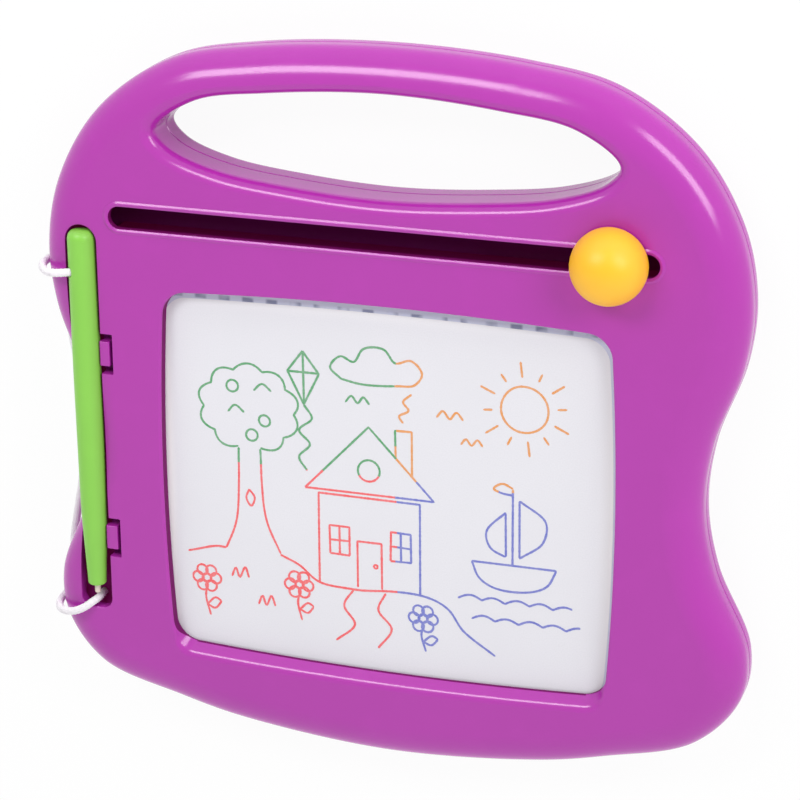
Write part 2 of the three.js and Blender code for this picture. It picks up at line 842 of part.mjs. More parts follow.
function penTipMagnet() {
  const tipY = penBottomY - penMagnetProud;
  return toSolid(
    turned(
      [
        [0, tipY],
        ...roundProfile(penMagnetRadius / 2, tipY + penMagnetRadius / 2, penMagnetRadius / 2, -quarterTurn, 0, 2),
        [penMagnetRadius, penBottomY + penTipBoreLength - fitGap],
        [0, penBottomY + penTipBoreLength - fitGap],
      ],
      12,
    ),
  );
}

function knot() {
  return toSolid(new THREE.SphereGeometry(knotRadius, 10, 6));
}

// Route of the cord from the pen, over the edge, along the table and up again to the trough's foot
const cordRoute = [
  [-113.4, 45, 25.5],
  [-115.2, 45, 27],
  [-116.9, 45, 28.2],
  [-118.6, 45, 28.9],
  [-120.4, 44.9, 29],
  [-122.2, 44.8, 28.5],
  [-124, 44.8, 27.5],
  [-126.5, 44.7, 24.5],
  [-128.6, 44.6, 20.5],
  [-129.6, 44.5, 15.5],
  [-129.7, 44.5, 10],
  [-129.6, 44.5, 8],
  [-129.4, 43.6, 4.9],
  [-129.2, 41.2, 2.5],
  [-129, 38, 1.6],
  [-128.8, 30, 1.6],
  [-127.5, 15, 1.6],
  [-125.5, 0, 1.6],
  [-124.3, -15, 1.6],
  [-124.4, -30, 1.6],
  [-126, -45, 1.6],
  [-128.5, -58, 1.6],
  [-130.6, -70, 1.6],
  [-130.6, -80, 1.6],
  [-130.6, -84.2, 2.6],
  [-130.5, -87, 5.2],
  [-130.4, -88, 9],
  [-130.3, -88.3, 14.5],
  [-129.3, -88.4, 19.6],
  [-126.8, -88.3, 24.1],
  [-123.2, -87.8, 26.9],
  [-119.2, -86.9, 27.6],
  [-115.6, -85.2, 26.9],
  [-113.4, -83.6, 25.6],
  [-111.8, -82.6, 23],
  [-111.4, -82, 18.8],
  [-111.4, -82, 16.3],
];

// The part of a curve between two of its lengths
class Stretch extends THREE.Curve {
  constructor(route, start, end) {
    super();
    this.route = route;
    this.start = start;
    this.end = end;
  }

  getPoint(t, target) {
    const along = this.start + (this.end - this.start) * t;
    return this.route.getPointAt(along / this.route.getLength(), target);
  }
}

function cordTube(stretch) {
  const sides = 8;
  const section = new THREE.Shape(
    Array.from({ length: sides }, (_, i) => {
      const angle = (i / sides) * 4 * quarterTurn;
      return new THREE.Vector2(Math.cos(angle), Math.sin(angle)).multiplyScalar(cordRadius);
    }),
  );
  const steps = Math.ceil((stretch.end - stretch.start) / (cordStepShare * cordDiameter));
  return toSolid(new THREE.ExtrudeGeometry(section, { steps, extrudePath: stretch, bevelEnabled: false }));
}

function piece(name, solid, material) {
  const mesh = new THREE.Mesh(toGeometry(solid), material);
  mesh.name = name;
  return mesh;
}

function place(x, y, z, ...children) {
  const group = new THREE.Group();
  group.position.set(x, y, z);
  group.add(...children);
  return group;
}

const route = new THREE.CatmullRomCurve3(
  cordRoute.map(([x, y, z]) => new THREE.Vector3(x, y, z)),
  false,
  "centripetal",
);
const routeLength = route.getLength();

const board = place(
  0,
  0,
  0,
  piece("front_shell", frontShell(), purple),
  piece("back_shell", backShell(), purple),
  piece("screen_gasket", gasket(), foam),
  piece("screen_face_film", screenSheet(filmTopZ, filmThickness), clearFilm),
  piece("screen_honeycomb", honeycomb(), greyBlue),
  piece("screen_back_film", screenSheet(backFilmTopZ, filmThickness), paleFluid),
  ...screwPlaces.map(([x, y], i) => {
    return place(x, y, 0, piece(`shell_screw_${i + 1}`, screw(counterboreDepth - fitGap), steel));
  }),
);
const eraser = place(
  knobX,
  0,
  0,
  place(0, slotY, 0, piece("eraser_knob", eraserKnob(), yellow)),
  piece("eraser_bar", eraserBar(), paleTip),
  piece("eraser_magnet_strip", eraserMagnet(), darkMagnet),
  place(0, slotY, 0, piece("eraser_screw", screw(eraserScrewHeadTopZ), steel)),
  place(0, slotY, 0, piece("eraser_screw_washer", washer(eraserWasherTopZ), steel)),
);
const pen = place(
  penX,
  0,
  penZ,
  piece("pen_barrel", penBarrel(), green),
  piece("pen_end_cap", penEndCap(), green),
  piece("pen_tip_magnet", penTipMagnet(), paleTip),
);
const tether = place(
  0,
  0,
  0,
  piece("tether_cord_pen_end", cordTube(new Stretch(route, 0, penEndLength)), cordWhite),
  piece("tether_cord", cordTube(new Stretch(route, penEndLength + fitGap, routeLength)), cordWhite),
  place(penX, penCordY, penZ, piece("tether_pen_knot", knot(), cordWhite)),
  place(penX, anchorY, slabBottomZ - knotRadius - 2 * fitGap, piece("tether_anchor_knot", knot(), cordWhite)),
);

const drawingBoard = new THREE.Group();
drawingBoard.add(board, eraser, pen);
const extent = new THREE.Box3().setFromObject(drawingBoard, true);
const middle = extent.getCenter(new THREE.Vector3());
drawingBoard.position.set(-middle.x, -middle.y, -extent.min.z);
drawingBoard.add(tether);

export default drawingBoard;
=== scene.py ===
import math

import bmesh
import bpy
import numpy as np
from mathutils import Matrix, Vector


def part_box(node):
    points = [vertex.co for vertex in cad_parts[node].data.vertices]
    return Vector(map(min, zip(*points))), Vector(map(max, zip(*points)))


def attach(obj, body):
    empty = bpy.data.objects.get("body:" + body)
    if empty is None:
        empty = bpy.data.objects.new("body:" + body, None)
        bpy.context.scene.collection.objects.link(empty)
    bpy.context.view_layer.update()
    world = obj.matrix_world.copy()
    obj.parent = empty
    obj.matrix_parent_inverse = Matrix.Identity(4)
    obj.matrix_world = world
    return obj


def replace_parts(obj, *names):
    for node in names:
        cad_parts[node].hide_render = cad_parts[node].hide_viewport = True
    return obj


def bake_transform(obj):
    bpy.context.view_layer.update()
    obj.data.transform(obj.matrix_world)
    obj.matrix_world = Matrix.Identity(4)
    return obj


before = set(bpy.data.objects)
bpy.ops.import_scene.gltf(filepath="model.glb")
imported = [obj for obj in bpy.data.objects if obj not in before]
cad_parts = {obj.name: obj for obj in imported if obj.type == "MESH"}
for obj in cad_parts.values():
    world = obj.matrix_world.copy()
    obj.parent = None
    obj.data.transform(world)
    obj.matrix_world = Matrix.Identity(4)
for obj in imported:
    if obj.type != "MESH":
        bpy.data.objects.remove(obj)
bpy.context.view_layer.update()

# Outlines and pieces are drawn in millimetres and become metres when their mesh is made
MM = 0.001


def span(node):
    """Lowest and highest corner of a solid in millimetres."""
    low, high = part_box(node)
    return np.array(low) / MM, np.array(high) / MM


def middle(node):
    return sum(span(node)) / 2


# The camera stands where the photograph was taken from
camera_place = (293.98, 350.94, 890.88)
camera_right = (0.94976, -0.00625, -0.3129)
camera_up = (-0.1041, 0.93656, -0.33468)
camera_back = (0.29515, 0.35044, 0.88886)
camera_lens = 126.587


def add_camera():
    camera = bpy.data.objects.new("camera", bpy.data.cameras.new("camera"))
    bpy.context.scene.collection.objects.link(camera)
    turn = Matrix((camera_right, camera_up, camera_back)).transposed().to_4x4()
    camera.matrix_world = Matrix.Translation(Vector(camera_place) * MM) @ turn
    camera.data.lens = camera_lens
    camera.data.sensor_width = 36
    camera.data.clip_end = 20
    bpy.context.scene.camera = camera


add_camera()

# Places taken from the frame
screws = [f"shell_screw_{number}" for number in range(1, 8)]
screw_centres = [middle(screw) for screw in screws]
axis_x = middle("shell_screw_7")[0]
seam_front = span("front_shell")[0][2]
back_top = span("back_shell")[1][2]
film_low, film_high = span("screen_face_film")
barrel_low, barrel_high = span("pen_barrel")
cap_low, cap_high = span("pen_end_cap")
knob_top = span("eraser_knob")[1][2]
bar_low = span("eraser_bar")[0]
pen_axis = middle("pen_barrel")
knob_axis = middle("eraser_knob")
anchor_y = middle("tether_anchor_knot")[1]

# Sizes of the shells, the screen, the screws, the pen and the knob
board_half_width = 130
board_half_height = 131.5
board_thickness = 25
pen_side_tuck = 1.5
front_edge_width = 13.5
front_edge_drop = 11
back_fillet = 8
wall = 2.4
fit_gap = 0.3
overrun = 2
handle_half_width = 82.7
handle_half_height = 18.4
handle_y = 98.2
handle_rim = 4.8
window_margin = 8
window_side_tuck = 0.8
fluid_hidden_edge = 1.5
fluid_right_margin = 1.6
fluid_top_margin = 4
fluid_bow = (2.8, 1.6)
window_bow = 2.6
window_corner = 8
window_edge_round = 1.1
window_lip = 5.8
window_lip_round = 4.2
window_lip_slope = math.radians(45)
window_lip_steps = 13
window_foot_chamfer = 0.3
low_side_start = 0.45
low_side_run = 0.53
skirt_thickness = 2.2
slot_x = -1.1
slot_half_length = 99.1
slot_width = 8.2
bead_width = 1.9
bead_height = 0.5
bead_slope = 0.5
bead_crest_round = 0.06
bead_steps = 21
trough_half_width = 6
trough_end_gap = 1.8
trough_tail_gap = 9.2
trough_corner = 4
trough_floor_round = 2.5
trough_lip = 0.5
slab_thickness = 1.8
tab_pocket_width = 4.7
tab_pocket_length = 15.2
tab_length = 9.2
tab_thickness = 3.4
tab_nose_height = 2.4
tab_chamfer = 0.5
tab_round = 0.3
pocket_round = 0.5
tab_ys = (14.7, -56.6)
screw_head_radius = 2.8
screw_head_height = 2
screw_radius = 1.2
screw_length = 12
screw_crown_height = 0.7
thread_turns = 9
thread_start = 0.6
thread_depth = 0.3
thread_profile = ((0, 0), (0, 0.35), (1, 0.5), (1, 0.6))
recess_half_width = 0.3
recess_reach = 1.55
recess_depth = 1.1
recess_taper = 0.45
counterbore_depth = 6
tower_wall = 1.1
boss_radius = 3.6
cord_diameter = 3
tongue_thickness = 1.4
tongue_root = 4
tongue_bite = 0.6
rail_width = 2
rail_overhang = 4.9
carriage_length = 17
foot_drop = 3.5
foot_prong = 1.6
rib_half = 0.8
rib_height = 3
pen_tip_radius = 3.4
pen_end_round = 1
pen_taper_length = 29
pen_taper_ease = 6
pen_seam = 0.02
pen_shoulder_radius = 4.75
pen_body_radius = 5.1
pen_head_radius = 5
pen_bore = 2.9
pen_bore_length = 30
cap_plug = 6
tip_bore_length = 10
tip_bore_radius = 1.4
tip_round = 0.5
hole_round = 0.6
cord_hole_turn = math.radians(50)
knob_radius = 13.2
knob_centre_rise = 3.8
knob_rim_round = 0.5
neck_clearance = 0.5
slot_y = knob_axis[1]
seam_back = seam_front - fit_gap
ceiling = board_thickness - wall
trough_floor = barrel_low[2] - fit_gap
slab_bottom = trough_floor - slab_thickness
pen_x = pen_axis[0] - axis_x
trough_right = pen_x + trough_half_width
rail_half = slot_half_length + rail_overhang
rail_top = bar_low[2] + foot_drop - fit_gap
upper_rail_y = slot_y - carriage_length / 2 - rail_width / 2
lower_rail_y = bar_low[1] + foot_prong + fit_gap + rail_width / 2
pen_bottom = barrel_low[1]
pen_top = cap_high[1]
cap_seat = barrel_high[1]
pen_ys = (
    pen_bottom, pen_bottom + pen_end_round, pen_bottom + pen_taper_length,
    (pen_bottom + pen_top + pen_taper_length) / 2, cap_seat,
)
pen_radii = (
    pen_tip_radius - pen_end_round, pen_tip_radius, pen_shoulder_radius, pen_body_radius, pen_head_radius,
)

board_shares = (
    (0, -1), (0.43, -0.965), (0.628, -0.922), (0.867, -0.847), (0.987, -0.71), (1, -0.569),
    (0.906, -0.353), (0.872, -0.173), (0.892, 0.012), (0.965, 0.225), (0.982, 0.398),
    (0.942, 0.587), (0.82, 0.782), (0.611, 0.927), (0.376, 0.977), (0, 1),
)
lower_lobe_share = -0.5
lobe_reach_share = 0.95
handle_shares = (
    (0, -1), (0.4, -0.9), (0.74, -0.69), (0.948, -0.33), (1, 0.01), (0.822, 0.598), (0.5, 0.85), (0, 1),
)
square_corners = ((-1, -1), (1, -1), (1, 1), (-1, 1))
crease_angle = math.radians(32)
same_place = 1e-4


# Outlines are arrays of points that run anticlockwise
def smooth_through(knots, steps, closed=True):
    """A smooth curve through the knots, the same one that the solids follow."""
    knots = np.array(knots, float)
    count = len(knots)
    if not closed:
        knots = np.vstack([2 * knots[0] - knots[1], knots, 2 * knots[-1] - knots[-2]])
    points = []
    for i in range(count if closed else count - 1):
        if closed:
            a, b, c, d = (knots[(i + k) % count] for k in (-1, 0, 1, 2))
        else:
            a, b, c, d = knots[i:i + 4]
        before, here, after = (np.linalg.norm(q - p) ** 0.5 for p, q in ((a, b), (b, c), (c, d)))
        start = ((b - a) / before - (c - a) / (before + here) + (c - b) / here) * here
        end = ((c - b) / here - (d - b) / (here + after) + (d - c) / after) * here
        t = np.arange(steps)[:, None] / steps
        square = (3 * (c - b) - 2 * start - end) * t**2
        cube = (2 * (b - c) + start + end) * t**3
        points.append(b + start * t + square + cube)
    if not closed:
        points.append(knots[-2:-1])
    return np.vstack(points)


def mirrored(shares, half_width, half_height, centre_y, left_tuck=0, steps=14):
    """A smooth outline through knots given as shares of its half sizes, the same on both sides."""
    right = [(x * half_width, centre_y + y * half_height) for x, y in shares]
    left = []
    for x, y in shares[1:-1]:
        lower_lobe = y < lower_lobe_share and x > lobe_reach_share
        left.append((-x * half_width + (left_tuck if lower_lobe else 0), centre_y + y * half_height))
    return smooth_through(right + left[::-1], steps) + (axis_x, 0)


def rounded_rectangle(low_x, high_x, low_y, high_y, radii, corner_steps=16):
    """A rectangle whose radii are given from its right top corner round to its right low one."""
    centres = (
        (high_x - radii[0], high_y - radii[0]),
        (low_x + radii[1], high_y - radii[1]),
        (low_x + radii[2], low_y + radii[2]),
        (high_x - radii[3], low_y + radii[3]),
    )
    points = []
    for corner, (x, y) in enumerate(centres):
        for i in range(corner_steps + 1):
            angle = (corner + i / corner_steps) * math.pi / 2
            points.append((x + radii[corner] * math.cos(angle), y + radii[corner] * math.sin(angle)))
    kept = [p for i, p in enumerate(points) if math.dist(p, points[i - 1]) > same_place]
    return np.array(kept) + (axis_x, 0)


def bowed_rectangle(low_x, high_x, low_y, high_y, bow, corner, longest_run=4):
    """A rounded rectangle whose sides bulge out to the limits and whose corners stay short of them."""
    half = np.array([high_x - low_x, high_y - low_y]) / 2 - bow
    outline = rounded_rectangle(-half[0], half[0], -half[1], half[1], (corner,) * 4) - (axis_x, 0)
    fine = []
    for i, point in enumerate(outline):
        following = outline[(i + 1) % len(outline)]
        runs = math.ceil(math.dist(point, following) / longest_run)
        fine += [point + (following - point) * run / runs for run in range(runs)]
    fine = np.array(fine)
    stretched = fine * (1 + bow / half * (1 - (fine[:, ::-1] / half[::-1]) ** 2))
    return stretched + ((low_x + high_x) / 2 + axis_x, (low_y + high_y) / 2)


def offset(outline, distance):
    along = np.roll(outline, -1, 0) - np.roll(outline, 1, 0)
    along /= np.linalg.norm(along, axis=1)[:, None]
    return outline + distance * np.column_stack([along[:, 1], -along[:, 0]])


def within(points, outline):
    """Whether each point lies inside the outline."""
    along = np.roll(outline, -1, 0) - outline
    x, y = points[:, :1], points[:, 1:2]
    crosses = (outline[:, 1] > y) != (outline[:, 1] + along[:, 1] > y)
    rise = np.where(along[:, 1] == 0, 1, along[:, 1])
    crossing_x = along[:, 0] * (y - outline[:, 1]) / rise + outline[:, 0]
    return (crosses & (x < crossing_x)).sum(1) % 2 == 1


def quarter(steps):
    """Angles over a quarter turn."""
    return [i / steps * math.pi / 2 for i in range(steps + 1)]


def rounded_edge(outline, inset, width, height, spring, direction, steps=18):
    """Rings of a rounded edge, from where it springs to where it meets the flat."""
    return [
        (offset(outline, -inset - width * (1 - math.cos(a))), spring + direction * height * math.sin(a))
        for a in quarter(steps)
    ]


def flare(outline, lip, face, direction, steps=10):
    """Rings of a hole that opens out in a quarter round, from the hole's wall to a face."""
    return [
        (offset(outline, lip * (1 - math.cos(a))), face - direction * lip * (1 - math.sin(a)))
        for a in quarter(steps)
    ]


# Meshes
def add_mesh(name, points, faces):
    mesh = bpy.data.meshes.new(name)
    mesh.from_pydata((np.array(points) * MM).tolist(), [], faces)
    mesh.update()
    piece = bpy.data.objects.new(name, mesh)
    bpy.context.scene.collection.objects.link(piece)
    return piece


def strip_faces(levels, count, closed):
    faces = []
    for level in range(levels if closed else levels - 1):
        for i in range(count):
            j = (i + 1) % count
            above = (level + 1) % levels
            faces.append((level * count + i, level * count + j, above * count + j, above * count + i))
    return faces


def capped_faces(levels, count):
    """The faces of a stack of rings with a face over each end."""
    ends = [tuple(range(count))[::-1], tuple(range((levels - 1) * count, levels * count))]
    return strip_faces(levels, count, closed=False) + ends


def loft(rings):
    """The solid through a stack of (outline, height) rings, whose heights may vary round a ring."""
    count = len(rings[0][0])
    points = np.vstack([np.column_stack([ring, np.full(count, z)]) for ring, z in rings])
    return add_mesh("loft", points, capped_faces(len(rings), count))


def plate(outline, bottom, top):
    return loft([(outline, bottom), (outline, top)])


def band(outline, section):
    """A closed band round an outline, with a section of (distance out, height), anticlockwise."""
    count = len(outline)
    points = np.vstack([np.column_stack([offset(outline, out), np.full(count, z)]) for out, z in section])
    return add_mesh("band", points, strip_faces(len(section), count, closed=True))


def box(low_x, high_x, low_y, high_y, low_z, high_z):
    corners = [(x + axis_x, y, z) for z in (low_z, high_z) for y in (low_y, high_y) for x in (low_x, high_x)]
    faces = ((0, 2, 3, 1), (4, 5, 7, 6), (0, 1, 5, 4), (1, 3, 7, 5), (3, 2, 6, 7), (2, 0, 4, 6))
    return add_mesh("box", corners, faces)


def turned(profile, sides=64):
    """A solid of revolution about Z. Its profile is (radius, height) from the axis round to the axis."""
    points = []
    rings = []
    for radius, z in profile:
        if radius == 0:
            rings.append([len(points)])
            points.append((0, 0, z))
            continue
        rings.append(list(range(len(points), len(points) + sides)))
        for i in range(sides):
            angle = 2 * math.pi * i / sides
            points.append((radius * math.cos(angle), radius * math.sin(angle), z))
    faces = []
    for low, high in zip(rings, rings[1:]):
        for i in range(sides):
            j = (i + 1) % sides
            corners = [low[i % len(low)], low[j % len(low)], high[j % len(high)], high[i % len(high)]]
            faces.append(tuple(dict.fromkeys(corners)))
    return add_mesh("turned", points, [f for f in faces if len(f) > 2])


def post(x, y, radius, bottom, top):
    piece = turned([(0, bottom), (radius, bottom), (radius, top), (0, top)], sides=48)
    return move(piece, x + axis_x, y, 0)


def move(piece, x, y, z):
    piece.data.transform(Matrix.Translation(Vector((x, y, z)) * MM))
    return piece


def cross_prism(section, low_y, high_y):
    """A prism whose section of (x, z) points runs along Y."""
    count = len(section)
    points = [(x + axis_x, y, z) for y in (low_y, high_y) for x, z in section]
    faces = [tuple(range(count)), tuple(range(2 * count - 1, count - 1, -1))]
    for i in range(count):
        j = (i + 1) % count
        faces.append((j, i, count + i, count + j))
    piece = add_mesh("prism", points, faces)
    work = bmesh.new()
    work.from_mesh(piece.data)
    bmesh.ops.recalc_face_normals(work, faces=work.faces)
    work.to_mesh(piece.data)
    work.free()
    return piece


def apply(piece, modifier):
    with bpy.context.temp_override(object=piece, active_object=piece):
        bpy.ops.object.modifier_apply(modifier=modifier.name)


def combine(piece, others, operation):
    for other in others:
        change = piece.modifiers.new("combine", "BOOLEAN")
        change.operation = operation
        change.solver = "MANIFOLD"
        change.object = other
        apply(piece, change)
        bpy.data.objects.remove(other)
    return piece


def cut(piece, *cutters):
    return combine(piece, cutters, "DIFFERENCE")


def join(piece, *others):
    return combine(piece, others, "UNION")


def round_edges(piece, width):
    bevel = piece.modifiers.new("edge_round", "BEVEL")
    bevel.width = width * MM
    bevel.segments = 3
    bevel.limit_method = "ANGLE"
    bevel.angle_limit = crease_angle
    apply(piece, bevel)
    return piece


def smooth_faces(piece):
    for face in piece.data.polygons:
        face.use_smooth = True


def finish_surface(piece):
    """Smooth shading with crisp edges."""
    smooth_faces(piece)
    piece.data.set_sharp_from_angle(angle=crease_angle)
    weigh = piece.modifiers.new("weighted_normals", "WEIGHTED_NORMAL")
    weigh.keep_sharp = True


board_outline = mirrored(board_shares, board_half_width, board_half_height, 0, pen_side_tuck)
handle_outline = mirrored(handle_shares, handle_half_width, handle_half_height, handle_y)
window_low = film_low + window_margin + (window_side_tuck, 0, 0)
window_high = film_high - window_margin - (window_side_tuck, 0, 0)
window_outline = bowed_rectangle(
    window_low[0] - axis_x, window_high[0] - axis_x, window_low[1], window_high[1], window_bow, window_corner,
)
slot_radius = slot_width / 2
slot_outline = rounded_rectangle(
    slot_x - slot_half_length, slot_x + slot_half_length, slot_y - slot_radius, slot_y + slot_radius,
    (slot_radius,) * 4,
)
trough_top = pen_top + trough_end_gap
trough_bottom = pen_bottom - trough_tail_gap
trough_outline = rounded_rectangle(
    pen_x - trough_half_width, trough_right, trough_bottom, trough_top,
    (trough_half_width, trough_half_width, trough_corner, trough_corner),
)
screw_places = [(centre[0] - axis_x, centre[1]) for centre in screw_centres]

# Cord: from the pen, over the board's edge, along the table and up again to the trough's foot
cord_route = (
    (-113.4, 45, 25.5), (-115.2, 45, 27), (-116.9, 45, 28.2), (-118.6, 45, 28.9), (-120.4, 44.9, 29),
    (-122.2, 44.8, 28.5), (-124, 44.8, 27.5), (-126.5, 44.7, 24.5), (-128.6, 44.6, 20.5),
    (-129.6, 44.5, 15.5), (-129.7, 44.5, 10), (-129.6, 44.5, 8), (-129.4, 43.6, 4.9), (-129.2, 41.2, 2.5),
    (-129, 38, 1.6), (-128.8, 30, 1.6), (-127.5, 15, 1.6), (-125.5, 0, 1.6), (-124.3, -15, 1.6),
    (-124.4, -30, 1.6), (-126, -45, 1.6), (-128.5, -58, 1.6), (-130.6, -70, 1.6), (-130.6, -80, 1.6),
    (-130.6, -84.2, 2.6), (-130.5, -87, 5.2), (-130.4, -88, 9), (-130.3, -88.3, 14.5),
    (-129.3, -88.4, 19.6), (-126.8, -88.3, 24.1), (-123.2, -87.8, 26.9), (-119.2, -86.9, 27.6),
    (-115.6, -85.2, 26.9), (-113.4, -83.6, 25.6), (-111.8, -82.6, 23), (-111.4, -82, 18.8),
    (-111.4, -82, 16.3),
)
cord_step = 0.3
cord_sides = 40
braid_depth = 0.32
braid_strands = 5
braid_pitch = 1.5
braid_fullness = 0.7


def even_steps(line, step):
    """The same line with its points a fixed distance apart, and its whole length."""
    along = np.concatenate([[0], np.cumsum(np.linalg.norm(np.diff(line, axis=0), axis=1))])
    at = np.linspace(0, along[-1], round(along[-1] / step) + 1)
    return np.column_stack([np.interp(at, along, axis) for axis in line.T]), along[-1]


def side_directions(line):
    """Two directions square to a line at each of its points, turned as little as can be."""
    tangents = np.gradient(line, axis=0)
    tangents /= np.linalg.norm(tangents, axis=1)[:, None]
    normal = np.cross(tangents[0], (0, 1, 0))
    normals = []
    for tangent in tangents:
        normal = normal - tangent * np.dot(normal, tangent)
        normal = normal / np.linalg.norm(normal)
        normals.append(normal)
    return np.array(normals), np.cross(tangents, normals)


def braided_tube(line):
    """A tube whose surface rises and falls where the strands of a round braid cross."""
    normals, binormals = side_directions(line)
    angles = 2 * math.pi * np.arange(cord_sides) / cord_sides
    along = np.arange(len(line)) * math.dist(line[0], line[1])
    turn = math.pi * along[:, None] / braid_pitch
    crossing = np.abs(np.sin(braid_strands * angles + turn) * np.sin(braid_strands * angles - turn))
    radius = cord_diameter / 2 - braid_depth * (1 - crossing**braid_fullness)
    around = angles[None, :, None]
    away = np.cos(around) * normals[:, None] + np.sin(around) * binormals[:, None]
    points = (line[:, None] + radius[:, :, None] * away).reshape(-1, 3)
    return add_mesh("pen_cord", points, capped_faces(len(line), cord_sides))


def braided_cord():
    line = smooth_through(np.array(cord_route) + (axis_x, 0, 0), steps=24, closed=False)
    line, length = even_steps(line, cord_step)
    piece = braided_tube(line)
    smooth_faces(piece)
    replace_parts(piece, "tether_cord", "tether_cord_pen_end")
    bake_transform(piece)
    return piece


pen_cord = braided_cord()

# Shells
seam_round = 0.3
hole_seam_chamfer = 0.25
slot_edge_round = 0.12


def flared_cutter(outline, bottom, face, lip, steps, foot=0.0):
    """A cutter for a hole that opens out at a face, and by a chamfer at its foot where one is given."""
    rings = [(outline, bottom)]
    if foot:
        wide = offset(outline, foot)
        rings = [(wide, bottom), (wide, bottom + overrun), (outline, bottom + overrun + foot)]
    return loft([*rings, *flare(outline, lip, face, 1, steps), (offset(outline, lip), face + overrun)])


def low_side_share(points):
    """1 along the window's low side, 0 along its other sides, and between the two round its low corners."""
    outward_y = (offset(window_outline, 1) - window_outline)[:, 1]
    distances = np.linalg.norm(points[:, None, :2] - window_outline[None], axis=2)
    share = np.clip((-outward_y[distances.argmin(1)] - low_side_start) / low_side_run, 0, 1)
    return share**2 * (3 - 2 * share)


def window_foot_depth(low_side):
    """How far below the face the window's upright wall ends."""
    slope_run = window_lip - window_lip_round * math.sin(window_lip_slope) - window_foot_chamfer
    low_depth = window_lip_round * (1 - math.cos(window_lip_slope)) + slope_run * math.tan(window_lip_slope)
    return window_edge_round + low_side * (low_depth - window_edge_round)


def window_cutter():
    """Upright walls with a small round, and a broad sloping lip along the low side only."""
    low_side = low_side_share(window_outline)[:, None]
    foot = window_foot_depth(low_side)
    rings = [
        (0, board_thickness - film_high[2] + overrun),
        (0, foot + low_side * window_foot_chamfer),
    ]
    for share in np.linspace(1, 0, window_lip_steps):
        steep = share * math.pi / 2
        gentle = share * window_lip_slope
        steep_ring = window_edge_round * np.array([1 - math.sin(steep), 1 - math.cos(steep)])
        gentle_ring = window_lip_round * np.array([-math.sin(gentle), 1 - math.cos(gentle)]) + (window_lip, 0)
        if share == 1:
            low_foot = (window_foot_chamfer, window_foot_depth(1))
            rings.append([steep_ring[k] + low_side * (low_foot[k] - steep_ring[k]) for k in (0, 1)])
        rings.append([steep_ring[k] + low_side * (gentle_ring[k] - steep_ring[k]) for k in (0, 1)])
    rings.append((rings[-1][0], -overrun))
    return loft([(offset(window_outline, out), np.ravel(board_thickness - depth)) for out, depth in rings])


def square_band(outline, inner, outer, bottom, top):
    return band(outline, ((inner, bottom), (outer, bottom), (outer, top), (inner, top)))


def snap_tab(centre_y):
    """A spring tab that stands in its pocket beside the trough, with its nose against the pen."""
    low_y = centre_y - tab_length / 2
    high_y = centre_y + tab_length / 2
    nose = pen_x + max(np.interp((low_y, high_y), pen_ys, pen_radii)) + fit_gap
    section = (
        (trough_right, trough_floor - wall / 2),
        (trough_right + tab_thickness, trough_floor - wall / 2),
        (trough_right + tab_thickness, board_thickness),
        (nose + tab_chamfer, board_thickness),
        (nose, board_thickness - tab_chamfer),
        (nose, board_thickness - tab_nose_height),
        (trough_right, board_thickness - tab_nose_height - (trough_right - nose)),
    )
    return round_edges(cross_prism(section, low_y, high_y), tab_round)


def trough_cutter():
    floor = [
        (offset(trough_outline, -trough_floor_round * (1 - math.sin(a))),
         trough_floor + trough_floor_round * (1 - math.cos(a)))
        for a in quarter(8)
    ]
    lip = flare(trough_outline, trough_lip, board_thickness, 1, steps=6)
    return loft([*floor, *lip, (offset(trough_outline, trough_lip), board_thickness + overrun)])


def slot_bead():
    """A low ridge along the slot's edge, with a narrow rounded crest between two even slopes."""
    half = bead_width / 2
    crest = []
    for share in np.linspace(1, -1, bead_steps):
        fall = math.hypot(share * half * bead_slope, bead_crest_round) - bead_crest_round
        crest.append((half * (1 + share), board_thickness + bead_height - fall))
    section = [(-overrun, ceiling), (bead_width, ceiling), *crest, (-overrun, crest[-1][1])]
    return band(slot_outline, section)


